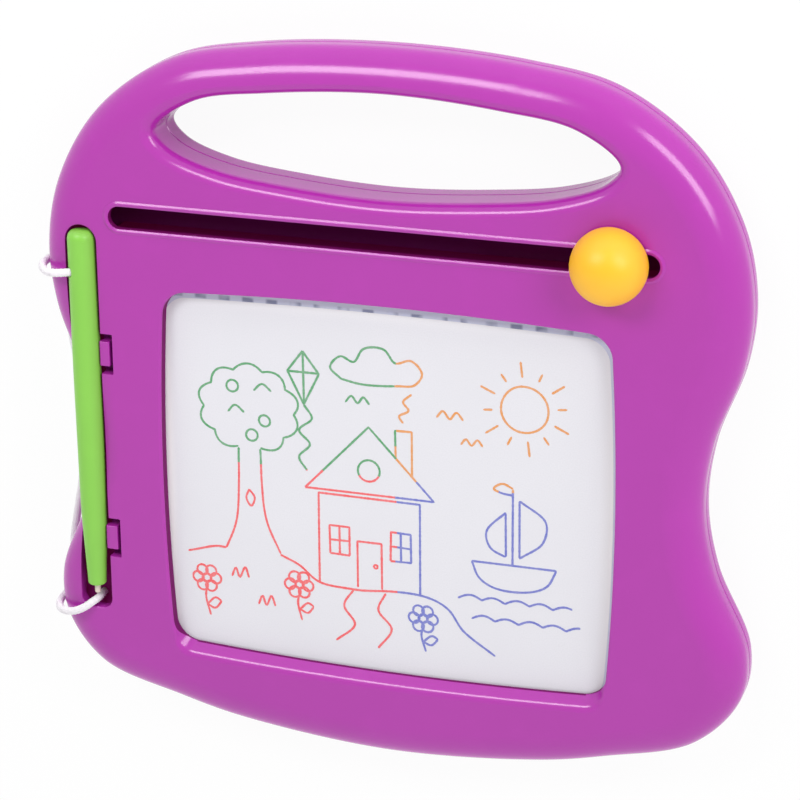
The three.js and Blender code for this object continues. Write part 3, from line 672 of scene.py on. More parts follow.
def front_shell():
    below = seam_front - overrun
    spring = board_thickness - front_edge_drop
    shell = loft([
        (offset(board_outline, -seam_round), seam_front),
        (board_outline, seam_front + seam_round),
        *rounded_edge(board_outline, 0, front_edge_width, front_edge_drop, spring, 1),
    ])
    whole = shell.copy()
    whole.data = shell.data.copy()
    bpy.context.scene.collection.objects.link(whole)
    inner_width = front_edge_width - wall
    inner_drop = front_edge_drop - wall
    cut(shell, loft([
        (offset(board_outline, -wall), below),
        *rounded_edge(board_outline, wall, inner_width, inner_drop, spring, 1, steps=6),
    ]))
    pocket_end = trough_right + tab_pocket_width
    blocks = box(
        -board_half_width - overrun, trough_right + wall, trough_bottom - wall, trough_top + wall,
        slab_bottom, board_thickness,
    )
    reach = tab_pocket_length / 2 + wall
    for y in tab_ys:
        block = box(trough_right, pocket_end + wall, y - reach, y + reach, slab_bottom, board_thickness)
        join(blocks, block)
    for x, y in screw_places:
        join(blocks, post(x, y, boss_radius, seam_front, board_thickness))
    combine(blocks, [whole], "INTERSECT")
    join(
        shell,
        blocks,
        square_band(window_outline, -overrun, skirt_thickness, film_high[2] + fit_gap, ceiling + wall / 2),
        square_band(handle_outline, -overrun, wall, seam_front, ceiling + wall / 2),
        slot_bead(),
    )
    cut(
        shell,
        flared_cutter(handle_outline, below, board_thickness, handle_rim, 14, hole_seam_chamfer),
        window_cutter(),
        flared_cutter(slot_outline, ceiling - overrun, board_thickness + slot_edge_round, slot_edge_round, 6),
        trough_cutter(),
        post(pen_x, anchor_y, cord_diameter / 2 + fit_gap, slab_bottom - overrun, trough_floor + overrun),
    )
    half = tab_pocket_length / 2
    for y in tab_ys:
        pocket = box(
            trough_right - overrun, pocket_end, y - half, y + half, trough_floor, board_thickness + overrun,
        )
        cut(shell, round_edges(pocket, pocket_round))
        join(shell, snap_tab(y))
    for x, y in screw_places:
        cut(shell, post(x, y, screw_radius + fit_gap, below, ceiling - overrun))
    return shell


def back_shell():
    shell = loft([
        *rounded_edge(board_outline, 0, back_fillet, back_fillet, back_fillet, -1)[::-1],
        (board_outline, seam_back - seam_round),
        (offset(board_outline, -seam_round), seam_back),
    ])
    inner_fillet = back_fillet - wall
    cut(shell, loft([
        *rounded_edge(board_outline, wall, inner_fillet, inner_fillet, back_fillet, -1, steps=6)[::-1],
        (offset(board_outline, -wall), seam_back + overrun),
    ]))
    tongue_outer = -wall - fit_gap
    tongue_inner = tongue_outer - tongue_thickness
    tongue = band(board_outline, (
        (tongue_inner, seam_back - tongue_root),
        (tongue_bite - wall, seam_back - tongue_root),
        (tongue_bite - wall, seam_back - fit_gap),
        (tongue_outer, seam_back - fit_gap),
        (tongue_outer, back_top),
        (tongue_inner, back_top),
    ))
    join(shell, tongue, square_band(handle_outline, -overrun, wall, wall / 2, seam_back))
    for x, y in screw_places:
        join(shell, post(x, y, screw_head_radius + fit_gap + tower_wall, wall / 2, seam_back))
    for y in (upper_rail_y, lower_rail_y):
        rail = box(-rail_half, rail_half, y - rail_width / 2, y + rail_width / 2, wall / 2, rail_top)
        join(shell, rail)
    for side in (-1, 0, 1):
        x = side * rail_half / 2
        rib = box(x - rib_half, x + rib_half, lower_rail_y, upper_rail_y, wall / 2, wall + rib_height)
        join(shell, rib)
    seam_outline = offset(handle_outline, hole_seam_chamfer)
    cut(shell, loft([
        (offset(handle_outline, handle_rim), -overrun),
        *flare(handle_outline, handle_rim, 0, -1, steps=12)[::-1],
        (handle_outline, seam_back - hole_seam_chamfer),
        (seam_outline, seam_back),
        (seam_outline, seam_back + overrun),
    ]))
    bore = screw_head_radius + fit_gap
    for x, y in screw_places:
        counterbore = turned([
            (0, -overrun), (bore + seam_round, -overrun), (bore + seam_round, 0), (bore, seam_round),
            (bore, counterbore_depth), (0, counterbore_depth),
        ])
        cut(shell, move(counterbore, x + axis_x, y, 0))
        cut(shell, post(x, y, screw_radius + fit_gap, counterbore_depth - overrun, seam_back + overrun))
    return shell


# Knob, pen and screws
def arc(centre_radius, centre_height, radius, start, end, steps):
    """Points of a round in a profile, between two angles above the horizontal."""
    angles = [start + (end - start) * i / steps for i in range(steps + 1)]
    return [(centre_radius + radius * math.cos(a), centre_height + radius * math.sin(a)) for a in angles]


def eraser_knob():
    centre = board_thickness + knob_centre_rise
    underside = board_thickness + bead_height + fit_gap
    neck = slot_width / 2 - neck_clearance
    bore_top = span("eraser_screw")[1][2] + fit_gap
    under = math.asin((underside + knob_rim_round - centre) / (knob_radius - knob_rim_round))
    rim = (knob_radius - knob_rim_round) * math.cos(under)
    knob = turned([
        (0, bore_top),
        (screw_radius + fit_gap, bore_top),
        (screw_radius + fit_gap, ceiling),
        (neck - knob_rim_round, ceiling),
        (neck, ceiling + knob_rim_round),
        (neck, underside),
        *arc(rim, underside + knob_rim_round, knob_rim_round, -math.pi / 2, under, 6),
        *arc(0, centre, knob_radius, under, math.pi / 2, 60)[1:-1],
        (0, knob_top),
    ], sides=128)
    return move(knob, knob_axis[0], slot_y, 0)


def lay_along_y(piece):
    """Turns a piece made upright so that its height runs along Y, and puts it on the pen's line."""
    piece.data.transform(Matrix.Rotation(-math.pi / 2, 4, "X"))
    return move(piece, pen_axis[0], 0, pen_axis[2])


def pen_outline_radius(y):
    """The barrel's long taper, eased where it meets the straight part."""
    ys = np.array(pen_ys[1:])
    radii = np.array(pen_radii[1:])
    shifts = np.linspace(-pen_taper_ease, pen_taper_ease, 13)
    if not ys[0] + pen_taper_ease < y < ys[-1] - pen_taper_ease:
        shifts = 0
    return float(np.mean(np.interp(y + shifts, ys, radii)))


def pen_barrel():
    seat = cap_low[1] + cap_plug - pen_seam
    outside = [(pen_outline_radius(y), y) for y in np.linspace(pen_ys[1], seat - pen_seam, 70)]
    barrel = lay_along_y(turned([
        (0, pen_bottom + tip_bore_length),
        (tip_bore_radius, pen_bottom + tip_bore_length),
        (tip_bore_radius, pen_bottom + pen_seam),
        (tip_bore_radius + pen_seam, pen_bottom),
        *arc(pen_tip_radius - pen_end_round, pen_bottom + pen_end_round, pen_end_round, -math.pi / 2, 0, 10),
        *outside[1:],
        (pen_head_radius - pen_seam, seat),
        (pen_bore, seat),
        (pen_bore, seat - pen_bore_length),
        (0, seat - pen_bore_length),
    ], sides=96))
    hole = cord_diameter / 2 + fit_gap
    mouth = [
        (hole + hole_round * (1 - math.cos(a)), pen_body_radius - hole_round * (1 - math.sin(a)))
        for a in quarter(6)
    ]
    drill = turned([
        (0, 0), (hole, 0), (hole, pen_body_radius - hole_round), *mouth,
        (hole + hole_round, pen_body_radius + overrun), (0, pen_body_radius + overrun),
    ], sides=48)
    drill.data.transform(Matrix.Rotation(-cord_hole_turn, 4, "Y"))
    return cut(barrel, move(drill, pen_axis[0], cord_route[0][1], pen_axis[2]))


def pen_end_cap():
    seat = cap_low[1] + cap_plug
    height = pen_top - seat
    plug = pen_bore - fit_gap
    dome = [(pen_head_radius * math.sqrt(math.cos(a)), seat + height * math.sin(a)) for a in quarter(24)[:-1]]
    return lay_along_y(turned([
        (0, cap_low[1]), (plug, cap_low[1]), (plug, seat), *dome, (0, pen_top),
    ], sides=96))


def pen_tip():
    tip_low, tip_high = span("pen_tip_magnet")
    radius = (tip_high[0] - tip_low[0]) / 2
    return lay_along_y(turned([
        (0, tip_low[1]),
        *arc(radius - tip_round, tip_low[1] + tip_round, tip_round, -math.pi / 2, 0, 8)[1:],
        (radius, tip_high[1]),
        (0, tip_high[1]),
    ], sides=48))


def cross_recess(head_bottom):
    """Two tapered bars that cross, cut up into a screw's head."""
    levels = ((-overrun, recess_reach), (0, recess_reach), (recess_depth, recess_reach * recess_taper))
    points = []
    for height, reach in levels:
        for x, y in square_corners:
            points.append((x * reach, y * recess_half_width, head_bottom + height))
    bars = []
    for turn in (0, math.pi / 2):
        bar = add_mesh("recess", points, capped_faces(3, 4))
        bar.data.transform(Matrix.Rotation(turn, 4, "Z"))
        bars.append(bar)
    return bars


def screw_piece(low_z, x, y):
    """A pan-head screw that points up, with its thread, its head's foot at the given height."""
    head_top = low_z + screw_head_height
    crown = [
        (screw_head_radius * math.sin(a), low_z + screw_crown_height * (1 - math.cos(a)))
        for a in quarter(8)[1:]
    ]
    thread = []
    for i in range(thread_turns):
        z = head_top + thread_start + i
        thread += [(screw_radius - thread_depth * (1 - crest), z + rise) for crest, rise in thread_profile]
    tip = head_top + screw_length
    piece = turned([
        (0, low_z), *crown, (screw_head_radius, head_top), (screw_radius, head_top), *thread,
        (screw_radius - thread_depth, tip - screw_radius), (0, tip),
    ], sides=40)
    cut(piece, *cross_recess(low_z))
    return move(piece, x, y, 0)


# Screen: the film is white over the fluid and clear along the border, where the cells show
fluid_outline = bowed_rectangle(
    window_low[0] - axis_x - fluid_hidden_edge, window_high[0] - axis_x - fluid_right_margin,
    window_low[1] - fluid_hidden_edge, window_high[1] - fluid_top_margin,
    fluid_bow, window_corner, longest_run=2,
)
panel_outline = offset(window_outline, window_margin)
film_seam = 0.02
drawing_seed = 11
colour_split_x = 3
colour_split_y = -22.5
line_width = 0.8
line_step = 0.45
line_unevenness = 0.1
line_waver = 0.12
line_height = 0.03
motif_rise = 0.0005
stroke_rise = 0.006


def white_film():
    return plate(fluid_outline, film_low[2], film_high[2])


def clear_border():
    """The film's margin, a thin sheet with a hole where the white part lies."""
    hole = plate(offset(fluid_outline, film_seam), film_low[2] - overrun, film_high[2] + overrun)
    return cut(plate(panel_outline, film_low[2], film_high[2]), hole)


# The drawing is a child's picture of a garden by the sea, in millimetres on the screen
def circle(x, y, radius, steps):
    angles = np.radians(np.linspace(0, 360, steps + 1))
    return np.column_stack([x + radius * np.cos(angles), y + radius * np.sin(angles)])


def curve(*points):
    return smooth_through(points, steps=10, closed=False)


def straight(*points):
    return np.array(points, float)


def scallops(x, y, radius_x, radius_y, bumps, depth, start, end):
    """A tree's edge: round bumps along an oval."""
    share = np.linspace(0, 1, bumps * 12 + 1)
    angles = np.radians(start + (end - start) * share)
    lift = 1 + depth * np.abs(np.sin(math.pi * bumps * share))
    return np.column_stack([x + radius_x * lift * np.cos(angles), y + radius_y * lift * np.sin(angles)])


def petals(x, y, reach, count):
    angles = [2 * math.pi * i / count for i in range(count)]
    return [circle(x + reach * math.cos(a), y + reach * math.sin(a), reach * 0.62, steps=18) for a in angles]


def tree():
    return [
        scallops(-52, -2, 17, 15, 9, 0.14, start=-76, end=256),
        curve((-56, -17), (-56.5, -30), (-57.5, -45), (-62, -57)),
        curve((-48, -17), (-47.5, -30), (-46, -45), (-41, -57)),
        curve((-60, -4), (-57, -1), (-53.5, -3.5)),
        curve((-50, 5), (-46.5, 8), (-43, 5.5)),
        circle(-58, 6, 2.2, steps=16),
        circle(-46, -6, 2.2, steps=16),
        circle(-51, -12, 2.2, steps=16),
        curve((-52.5, -33), (-50.5, -36), (-52, -39.5), (-53.8, -36.5), (-52.5, -33)),
    ]


def house_window(x):
    return [
        straight((x, -54), (x, -43), (x + 7.5, -43), (x + 7.5, -54), (x, -54)),
        straight((x + 3.75, -54), (x + 3.75, -43)),
        straight((x, -48.5), (x + 7.5, -48.5)),
    ]


def house():
    return [
        straight((-26, -66), (-26, -31), (12, -31), (12, -66)),
        straight((-31, -29.5), (-7, -4), (17, -29.5), (-31, -29.5)),
        straight((3, -15), (3, -4), (9, -4), (9, -21.3)),
        straight((-11.5, -66), (-11.5, -48), (-2.5, -48), (-2.5, -66)),
        circle(-4.6, -57, 0.7, steps=10),
        *house_window(-22),
        *house_window(1),
        circle(-7, -20.5, 4, steps=24),
        curve((6, -1), (4.5, 1.5), (8, 4), (6, 7), (9, 10)),
    ]


def sun():
    x, y = 50, 9
    rays = []
    for i in range(12):
        a = 2 * math.pi * i / 12 + 0.1
        reaches = (11.5, 17.5 if i % 2 else 15)
        rays.append(straight(*[(x + reach * math.cos(a), y + reach * math.sin(a)) for reach in reaches]))
    return [circle(x, y, 8.5, steps=40), *rays]


def cloud():
    return [curve(
        (-17, 13), (-21, 17), (-17, 21.5), (-12, 20), (-8.5, 25), (-1, 25.5), (3, 21), (9, 22.5),
        (13, 18), (10, 13.5), (4, 12.5), (-4, 12), (-11, 12), (-17, 13),
    )]


def boat():
    return [
        curve((31, -50), (33.5, -56), (38, -59), (46, -60), (54, -59), (59, -56), (62, -50)),
        straight((31, -50), (62, -50)),
        straight((46, -50), (46, -21)),
        curve((48.5, -47), (57, -40), (58, -32), (48.5, -25)),
        straight((48.5, -25), (48.5, -47)),
        curve((43.5, -47), (38, -44), (36.5, -38), (43.5, -30)),
        straight((43.5, -30), (43.5, -47)),
        curve((46, -21), (42, -19.5), (39, -21.5), (42, -23), (46, -23.5)),
    ]


def waves():
    height = 1.6
    closeness = 0.36
    rows = []
    for y, low_x, high_x in ((-64, 26, 68), (-71.5, 31, 71)):
        x = np.linspace(low_x, high_x, 80)
        rows.append(np.column_stack([x, y + height * np.abs(np.sin((x - low_x) * closeness)) - 1]))
    return rows


def birds():
    marks = []
    for x, y, size in ((23, 3, 5), (31, -6, 4), (-11, 5, 4.5)):
        crest = y + size * 0.45
        marks.append(curve(
            (x - size, y - 0.5), (x - size * 0.5, crest), (x, y - size * 0.1), (x + size * 0.5, crest),
            (x + size, y - 0.5),
        ))
    return marks


def flowers():
    lines = []
    for x, foot, height in ((-70, -85, 15), (-34, -82, 14), (13, -88, 13)):
        top = foot + height
        leaf_foot = (x, foot + height * 0.3)
        leaf_tip = (x + 5.5, foot + height * 0.42)
        lines.append(curve((x + 1, foot), (x - 0.6, foot + height / 2), (x, top - 3.5)))
        lines.append(circle(x, top, 1.7, steps=14))
        lines += petals(x, top, 3.4, 6)
        lines.append(curve(leaf_foot, (x + 3.2, foot + height * 0.5), leaf_tip))
        lines.append(curve(leaf_foot, (x + 3, foot + height * 0.22), leaf_tip))
    return lines


def grass(x, y):
    return curve((x, y), (x + 1.5, y + 3.5), (x + 3, y), (x + 5, y + 4), (x + 6.5, y))


def ground():
    return [
        curve((-77, -60), (-66, -57), (-62, -57)),
        curve((-41, -57), (-34, -60), (-26, -66), (-12, -67), (12, -66), (22, -70), (28, -78), (40, -86)),
        curve((-13, -67), (-17, -74), (-13, -81), (-20, -88)),
        curve((-1, -67), (-4, -74), (1, -81), (-4, -89)),
        grass(-60, -68),
        grass(-50, -78),
    ]


def kite():
    return [
        straight((-31, 22), (-25, 14), (-31, 2), (-37, 14), (-31, 22)),
        straight((-31, 22), (-31, 2)),
        straight((-37, 14), (-25, 14)),
        curve((-31, 2), (-28, -3), (-33, -8), (-29, -13), (-33, -18), (-30, -23)),
    ]


def ribbon(line, chance):
    """A drawn line with its left and right edges, round ends and an uneven width."""
    line, length = even_steps(line, line_step)
    along = np.gradient(line, axis=0)
    along /= np.linalg.norm(along, axis=1)[:, None]
    side = np.column_stack([-along[:, 1], along[:, 0]])
    at = np.linspace(0, length, len(line))
    from_end = np.clip(np.minimum(at, length - at) / (line_width / 2), 0, 1)
    is_loop = math.dist(line[0], line[-1]) < line_width / 4
    taper = 1 if is_loop else np.sqrt(np.clip(1 - (1 - from_end) ** 2, 0.04, 1))
    half = line_width / 2 * taper * (1 + line_unevenness * chance.standard_normal(len(line)).clip(-1.5, 1.5))
    return line, line + side * half[:, None], line - side * half[:, None]


def flat_strip(left, right, base, top):
    """A thin closed strip between two edges, as points and faces."""
    count = len(left)
    base = np.full(count, base)
    rows = [np.column_stack(row) for row in ((left, top), (right, top), (right, base), (left, base))]
    return np.stack(rows, 1).reshape(-1, 3), capped_faces(count, len(rows))


def drawing():
    """The picture's lines, one mesh for each of the screen's four colours."""
    chance = np.random.default_rng(drawing_seed)
    motifs = (tree, house, sun, cloud, boat, waves, birds, flowers, ground, kite)
    parts = {colour: ([], []) for row in colour_quarters for colour in row}
    for i, motif in enumerate([line for motif in motifs for line in motif()]):
        unsteady = line_waver * np.sin(motif @ (0.31, 0.23) + i)
        line, left, right = ribbon(motif + unsteady[:, None], chance)
        quarters = [(int(y < colour_split_y), int(x > colour_split_x)) for x, y in line[:-1]]
        changes = [j for j in range(1, len(quarters)) if quarters[j] != quarters[j - 1]]
        top = film_high[2] + line_height + motif_rise * i + np.linspace(0, stroke_rise, len(line))
        for first, last in zip([0, *changes], [*changes, len(quarters)]):
            row, column = quarters[first]
            points, faces = parts[colour_quarters[row][column]]
            run = slice(first, last + 1)
            strip = flat_strip(left[run], right[run], film_high[2] + line_height / 4, top[run])
            faces += [tuple(len(points) + k for k in face) for face in strip[1]]
            points += strip[0].tolist()
    return {colour: add_mesh(f"drawing_{colour}", points, faces) for colour, (points, faces) in parts.items()}


# Materials
class Value:
    """A number that varies over a surface, as do its sums and products."""

    def __init__(self, nodes, socket):
        self.nodes = nodes
        self.socket = socket

    def math(self, operation, *others):
        return self.nodes.node("ShaderNodeMath", {"operation": operation}, dict(enumerate((self, *others))))

    def __add__(self, other):
        return self.math("ADD", other)

    def __mul__(self, other):
        return self.math("MULTIPLY", other)

    def __sub__(self, other):
        return self.math("SUBTRACT", other)

    def __rsub__(self, other):
        return self.nodes.node("ShaderNodeMath", {"operation": "SUBTRACT"}, {0: other, 1: self})

    __radd__ = __add__
    __rmul__ = __mul__

    def between(self, low, high):
        """0 at low, 1 at high and past it, and a straight rise between."""
        limits = {"Value": self, "From Min": low, "From Max": high}
        return self.nodes.node("ShaderNodeMapRange", {"clamp": True}, limits)


class Nodes:
    """A tree of nodes that is being made."""

    def __init__(self, tree):
        self.tree = tree

    def fill(self, socket, value):
        if isinstance(value, Value):
            self.tree.links.new(value.socket, socket)
        else:
            socket.default_value = value

    def node(self, kind, settings=None, inputs=None, output=0):
        """A node of that type, with its settings made before its sockets are filled."""
        node = self.tree.nodes.new(kind)
        for setting, value in (settings or {}).items():
            setattr(node, setting, value)
        for socket, value in (inputs or {}).items():
            self.fill(node.inputs[socket], value)
        return Value(self, node.outputs[output])

    def blend(self, low, high, share):
        return self.node("ShaderNodeMix", {"data_type": "RGBA"}, {0: share, 6: low, 7: high}, 2)


class Paint(Nodes):
    """A material that is being made."""

    def __init__(self, name, **constants):
        self.material = bpy.data.materials.new(name)
        self.material.use_nodes = True
        super().__init__(self.material.node_tree)
        self.shader = self.tree.nodes["Principled BSDF"]
        self.surface(**constants)

    def place(self, squeeze=1):
        """Places on the object in millimetres, with the heights multiplied where a squeeze is given."""
        where = self.node("ShaderNodeTexCoord", output="Object")
        scale = (1 / MM, 1 / MM, squeeze / MM)
        return self.node("ShaderNodeVectorMath", {"operation": "MULTIPLY"}, {0: where, 1: scale})

    def along(self, axis):
        return self.node("ShaderNodeSeparateXYZ", {}, {0: self.place()}, axis)

    def noise(self, size, detail, squeeze=1):
        """Noise with lumps of about that size in millimetres."""
        inputs = {"Vector": self.place(squeeze), "Scale": 1 / size, "Detail": detail}
        return self.node("ShaderNodeTexNoise", {}, inputs, "Fac")

    def surface(self, **values):
        for socket, value in values.items():
            self.fill(self.shader.inputs[socket.replace("_", " ")], value)

    def relief(self, height, depth):
        """Bumps up to that depth in millimetres."""
        bump = self.node("ShaderNodeBump", {}, {"Height": height, "Distance": depth * MM, "Strength": 1})
        self.surface(Normal=bump)
        return self.material


def linear(red, green, blue):
    """A colour as it is seen, 0 to 255, in the values that a shader takes."""
    channels = [c / 255 for c in (red, green, blue)]
    return (*(c / 12.92 if c < 0.04045 else ((c + 0.055) / 1.055) ** 2.4 for c in channels), 1)


def tinted(colour, share):
    """The colour made darker by a share below 1, or lighter by one above."""
    return (*(c * share for c in colour[:3]), 1)


# Width of the painted light along the white film's edges
painted_light_edge_width = 9
cell_shadow_pitch = 8.9
white = (1, 1, 1, 1)
fluid_white = linear(229, 228, 234)
behind_powder = linear(232, 230, 236)


def moulded(name, colour, roughness, wear=0.06, grain=0.02, **constants):
    """Moulded plastic: slow drifts of colour, a fine grain and faint rubbed patches."""
    paint = Paint(name, **constants)
    drift = paint.noise(38, 2)
    rubbed = paint.noise(9, 4).between(0.52, 0.74)
    fine = paint.noise(0.55, 3)
    base = paint.blend(tinted(colour, 1 - wear), tinted(colour, 1 + wear), drift)
    paint.surface(Base_Color=paint.blend(base, tinted(colour, 1.05), rubbed * 0.5))
    paint.surface(Roughness=roughness - 0.03 + fine * 0.04 + rubbed * 0.05)
    return paint.relief(fine + drift * 4, grain)


def white_screen_film():
    """Satin film over the white fluid, faintly speckled by the powder below, with painted light towards three
    edges that lifts the shade the window's walls cast there.
    """
    paint = Paint("screen_white", Specular_IOR_Level=0.3)
    speckle = paint.noise(0.5, 3)
    base = paint.blend(tinted(fluid_white, 0.97), tinted(fluid_white, 1.02), paint.noise(26, 3))
    base = paint.blend(tinted(fluid_white, 0.955), base, speckle.between(0.25, 0.6))
    centre = (window_low + window_high) / 2
    half = (window_high - window_low) / 2
    # Painted light: the base is lightened towards the right, left and top edges to cancel the shade that the
    # window's walls cast on the film
    edge = 0
    for axis, side, width in ((0, 1, painted_light_edge_width), (0, -1, painted_light_edge_width / 2), (1, 1, painted_light_edge_width)):
        from_centre = (paint.along(axis) - float(centre[axis])) * side
        close = from_centre.between(float(half[axis]) - width, float(half[axis]) - fluid_right_margin)
        edge = (close * close).math("MAXIMUM", edge)
    paint.surface(Base_Color=paint.blend(base, white, edge))
    paint.surface(Roughness=0.42 + speckle * 0.12)
    return paint.relief(speckle, 0.03)


def clear_film():
    """The film over the open cells, with a broken row of painted shadows along the top, standing for the
    shade inside the cells where they end.
    """
    paint = Paint("screen_clear_border", Specular_IOR_Level=0.3)
    wave = (paint.along("X") * (2 * math.pi / cell_shadow_pitch)).math("SINE").between(-0.2, 0.4)
    y = paint.along("Y")
    top = float(window_high[1]) - fluid_top_margin
    reached = y.between(top - 1, top - 0.4)
    passed = y.between(top + 0.8, top + 1.4)
    # Painted shadow: dark marks in the film at each cell's pitch along the top of the border
    painted_cell_shadow = wave * reached * (1 - passed) * paint.noise(7, 1).between(0.36, 0.56) * 0.7
    pale = paint.blend(linear(232, 234, 252), linear(214, 218, 244), paint.noise(3, 2))
    paint.surface(Base_Color=paint.blend(pale, linear(92, 100, 146), painted_cell_shadow))
    paint.surface(Alpha=0.78 + paint.noise(3, 2) * 0.15, Roughness=0.2 + paint.noise(1, 2) * 0.1)
    return paint.material


def mottled(name, dark, pale, specular, lumps, roughness, grain, depth):
    """Two shades in lumps over a fine grain, rougher where it is pale."""
    paint = Paint(name, Specular_IOR_Level=specular)
    shade = paint.noise(*lumps)
    least, gain = roughness
    paint.surface(Base_Color=paint.blend(dark, pale, shade), Roughness=least + shade * gain)
    return paint.relief(paint.noise(*grain), depth)


def powder_line(name, colour):
    """Coloured powder drawn up to the film: denser in some cells than in others."""
    paint = Paint(name, Specular_IOR_Level=0.1)
    grains = paint.noise(0.35, 3).between(0.3, 0.7)
    thin = tuple(0.62 * c + 0.38 * w for c, w in zip(colour, behind_powder))
    paint.surface(Base_Color=paint.blend(thin, colour, grains * 0.45 + paint.noise(3, 2) * 0.75))
    paint.surface(Roughness=0.55 + grains * 0.2)
    return paint.relief(grains, 0.01)


def braided_white():
    """White braid: two whites mixed by a fine fibre noise, with loose fibres."""
    paint = Paint("cord_braid", Specular_IOR_Level=0.2)
    fibre = paint.noise(0.12, 2)
    crown = paint.blend(linear(246, 241, 247), linear(255, 253, 255), paint.noise(14, 2))
    hollow = tinted(linear(246, 240, 247), 0.9)
    paint.surface(Base_Color=paint.blend(hollow, crown, fibre.between(0.3, 0.6)))
    paint.surface(Roughness=0.8 + fibre * 0.15)
    return paint.relief(fibre, 0.06)


def plated_steel():
    paint = Paint("plated_steel", Metallic=1.0)
    streak = paint.noise(0.4, 3, squeeze=6)
    spots = paint.noise(2, 3).between(0.55, 0.75)
    paint.surface(Base_Color=paint.blend(linear(176, 178, 184), linear(150, 148, 142), spots))
    paint.surface(Roughness=0.25 + streak * 0.15 + spots * 0.15)
    return paint.relief(streak, 0.01)


def foam():
    paint = Paint("gasket_foam", Specular_IOR_Level=0.2)
    bubbles = paint.node("ShaderNodeTexVoronoi", {}, {"Vector": paint.place(), "Scale": 2.2}, "Distance")
    paint.surface(Base_Color=paint.blend(linear(190, 190, 192), linear(226, 226, 228), bubbles))
    paint.surface(Roughness=0.85 + bubbles * 0.1)
    return paint.relief(bubbles, 0.15)


purple = moulded("shell_purple", linear(174, 44, 166), 0.18, wear=0.03, grain=0.006, IOR=1.55)
# Painted shade: a dark purple for faces that lie in shade inside the shells, in the slot, on the window's
# walls and at the trough's foot, with a faint painted glow standing for light through the plastic
painted_shade = moulded(
    "shell_painted_shade", linear(104, 16, 92), 0.6, wear=0.05, Specular_IOR_Level=0.1,
    Emission_Color=linear(46, 0, 18), Emission_Strength=1.0,
)
yellow = moulded("knob_yellow", linear(252, 189, 38), 0.42, wear=0.02, grain=0.03)
green = moulded("pen_green", linear(134, 202, 75), 0.38, wear=0.03, grain=0.02)
ivory = moulded("bar_ivory", linear(226, 222, 216), 0.4)
tip_beige = moulded("pen_tip", linear(228, 212, 200), 0.35, wear=0.1)
cell_sheet = mottled(
    "cell_sheet", linear(206, 208, 232), linear(228, 229, 246), specular=0.4,
    lumps=(6, 3), roughness=(0.4, 0.2), grain=(0.5, 2), depth=0.02,
)
cell_floor = mottled(
    "cell_floor", linear(120, 128, 182), linear(176, 180, 222), specular=0.5,
    lumps=(4, 3), roughness=(0.35, 0.2), grain=(0.6, 2), depth=0.02,
)
rubber_magnet = mottled(
    "rubber_magnet", linear(34, 34, 38), linear(62, 60, 62), specular=0.3,
    lumps=(0.3, 3), roughness=(0.6, 0.25), grain=(0.3, 3), depth=0.04,
)
steel = plated_steel()
braid = braided_white()
line_colours = {
    "green": linear(66, 156, 92), "orange": linear(230, 148, 62),
    "red": linear(242, 76, 78), "blue": linear(98, 108, 198),
}
colour_quarters = (("green", "orange"), ("red", "blue"))


def dress(piece, material):
    piece.data.materials.clear()
    piece.data.materials.append(material)
    return piece


def stand_for(piece, name, body, material, slot, *nodes):
    """Finishes a piece, puts it on its body and lets it stand for its solids."""
    piece.name = name
    finish_surface(piece)
    dress(piece, material)
    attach(piece, body)
    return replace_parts(piece, *nodes) if nodes else piece


def faces_inside(centres, normals_z, low_z, high_z, skin_up):
    """Which of a shell's faces lie within its walls, or in the slot."""
    inside = (centres[:, 2] > low_z) & (centres[:, 2] < high_z) & (normals_z * skin_up < 0.05)
    inside &= within(centres, offset(board_outline, -wall - fit_gap / 2))
    for hole in (handle_outline, window_outline):
        inside &= ~within(centres, offset(hole, wall / 2))
    for centre in screw_centres:
        inside &= np.linalg.norm(centres[:, :2] - centre[:2], axis=1) > boss_radius
    trough_reach = trough_right + tab_pocket_width + 2 * wall + axis_x
    inside &= (centres[:, 0] >= trough_reach) | (centres[:, 2] <= slab_bottom)
    in_slot = within(centres, offset(slot_outline, fit_gap)) & (centres[:, 2] < board_thickness - fit_gap)
    return inside | in_slot


def paint_shade_inside(shell, low_z, high_z, skin_up):
    """Paints shade onto the faces inside a shell, in the slot, on the window's walls and at the trough's
    foot, by giving them the painted shade material.
    """
    shell.data.materials.append(painted_shade)
    centres = np.array([face.center for face in shell.data.polygons]) / MM
    normals_z = np.array([face.normal.z for face in shell.data.polygons])
    # Faces that get painted shade: inside the walls, in the slot, low on the window's walls and at the
    # trough's foot
    painted_shade_faces = faces_inside(centres, normals_z, low_z, high_z, skin_up)
    in_window = within(centres, offset(window_outline, window_foot_chamfer)) & (centres[:, 2] > seam_front)
    depth = board_thickness - centres[:, 2]
    painted_shade_faces |= in_window & (depth > window_foot_depth(low_side_share(centres)) + fit_gap / 2)
    trough_foot = centres[:, 2] < trough_floor + trough_floor_round
    painted_shade_faces |= within(centres, trough_outline) & trough_foot & (centres[:, 2] > slab_bottom + fit_gap)
    for face, is_painted_shade in zip(shell.data.polygons, painted_shade_faces):
        face.material_index = int(is_painted_shade)


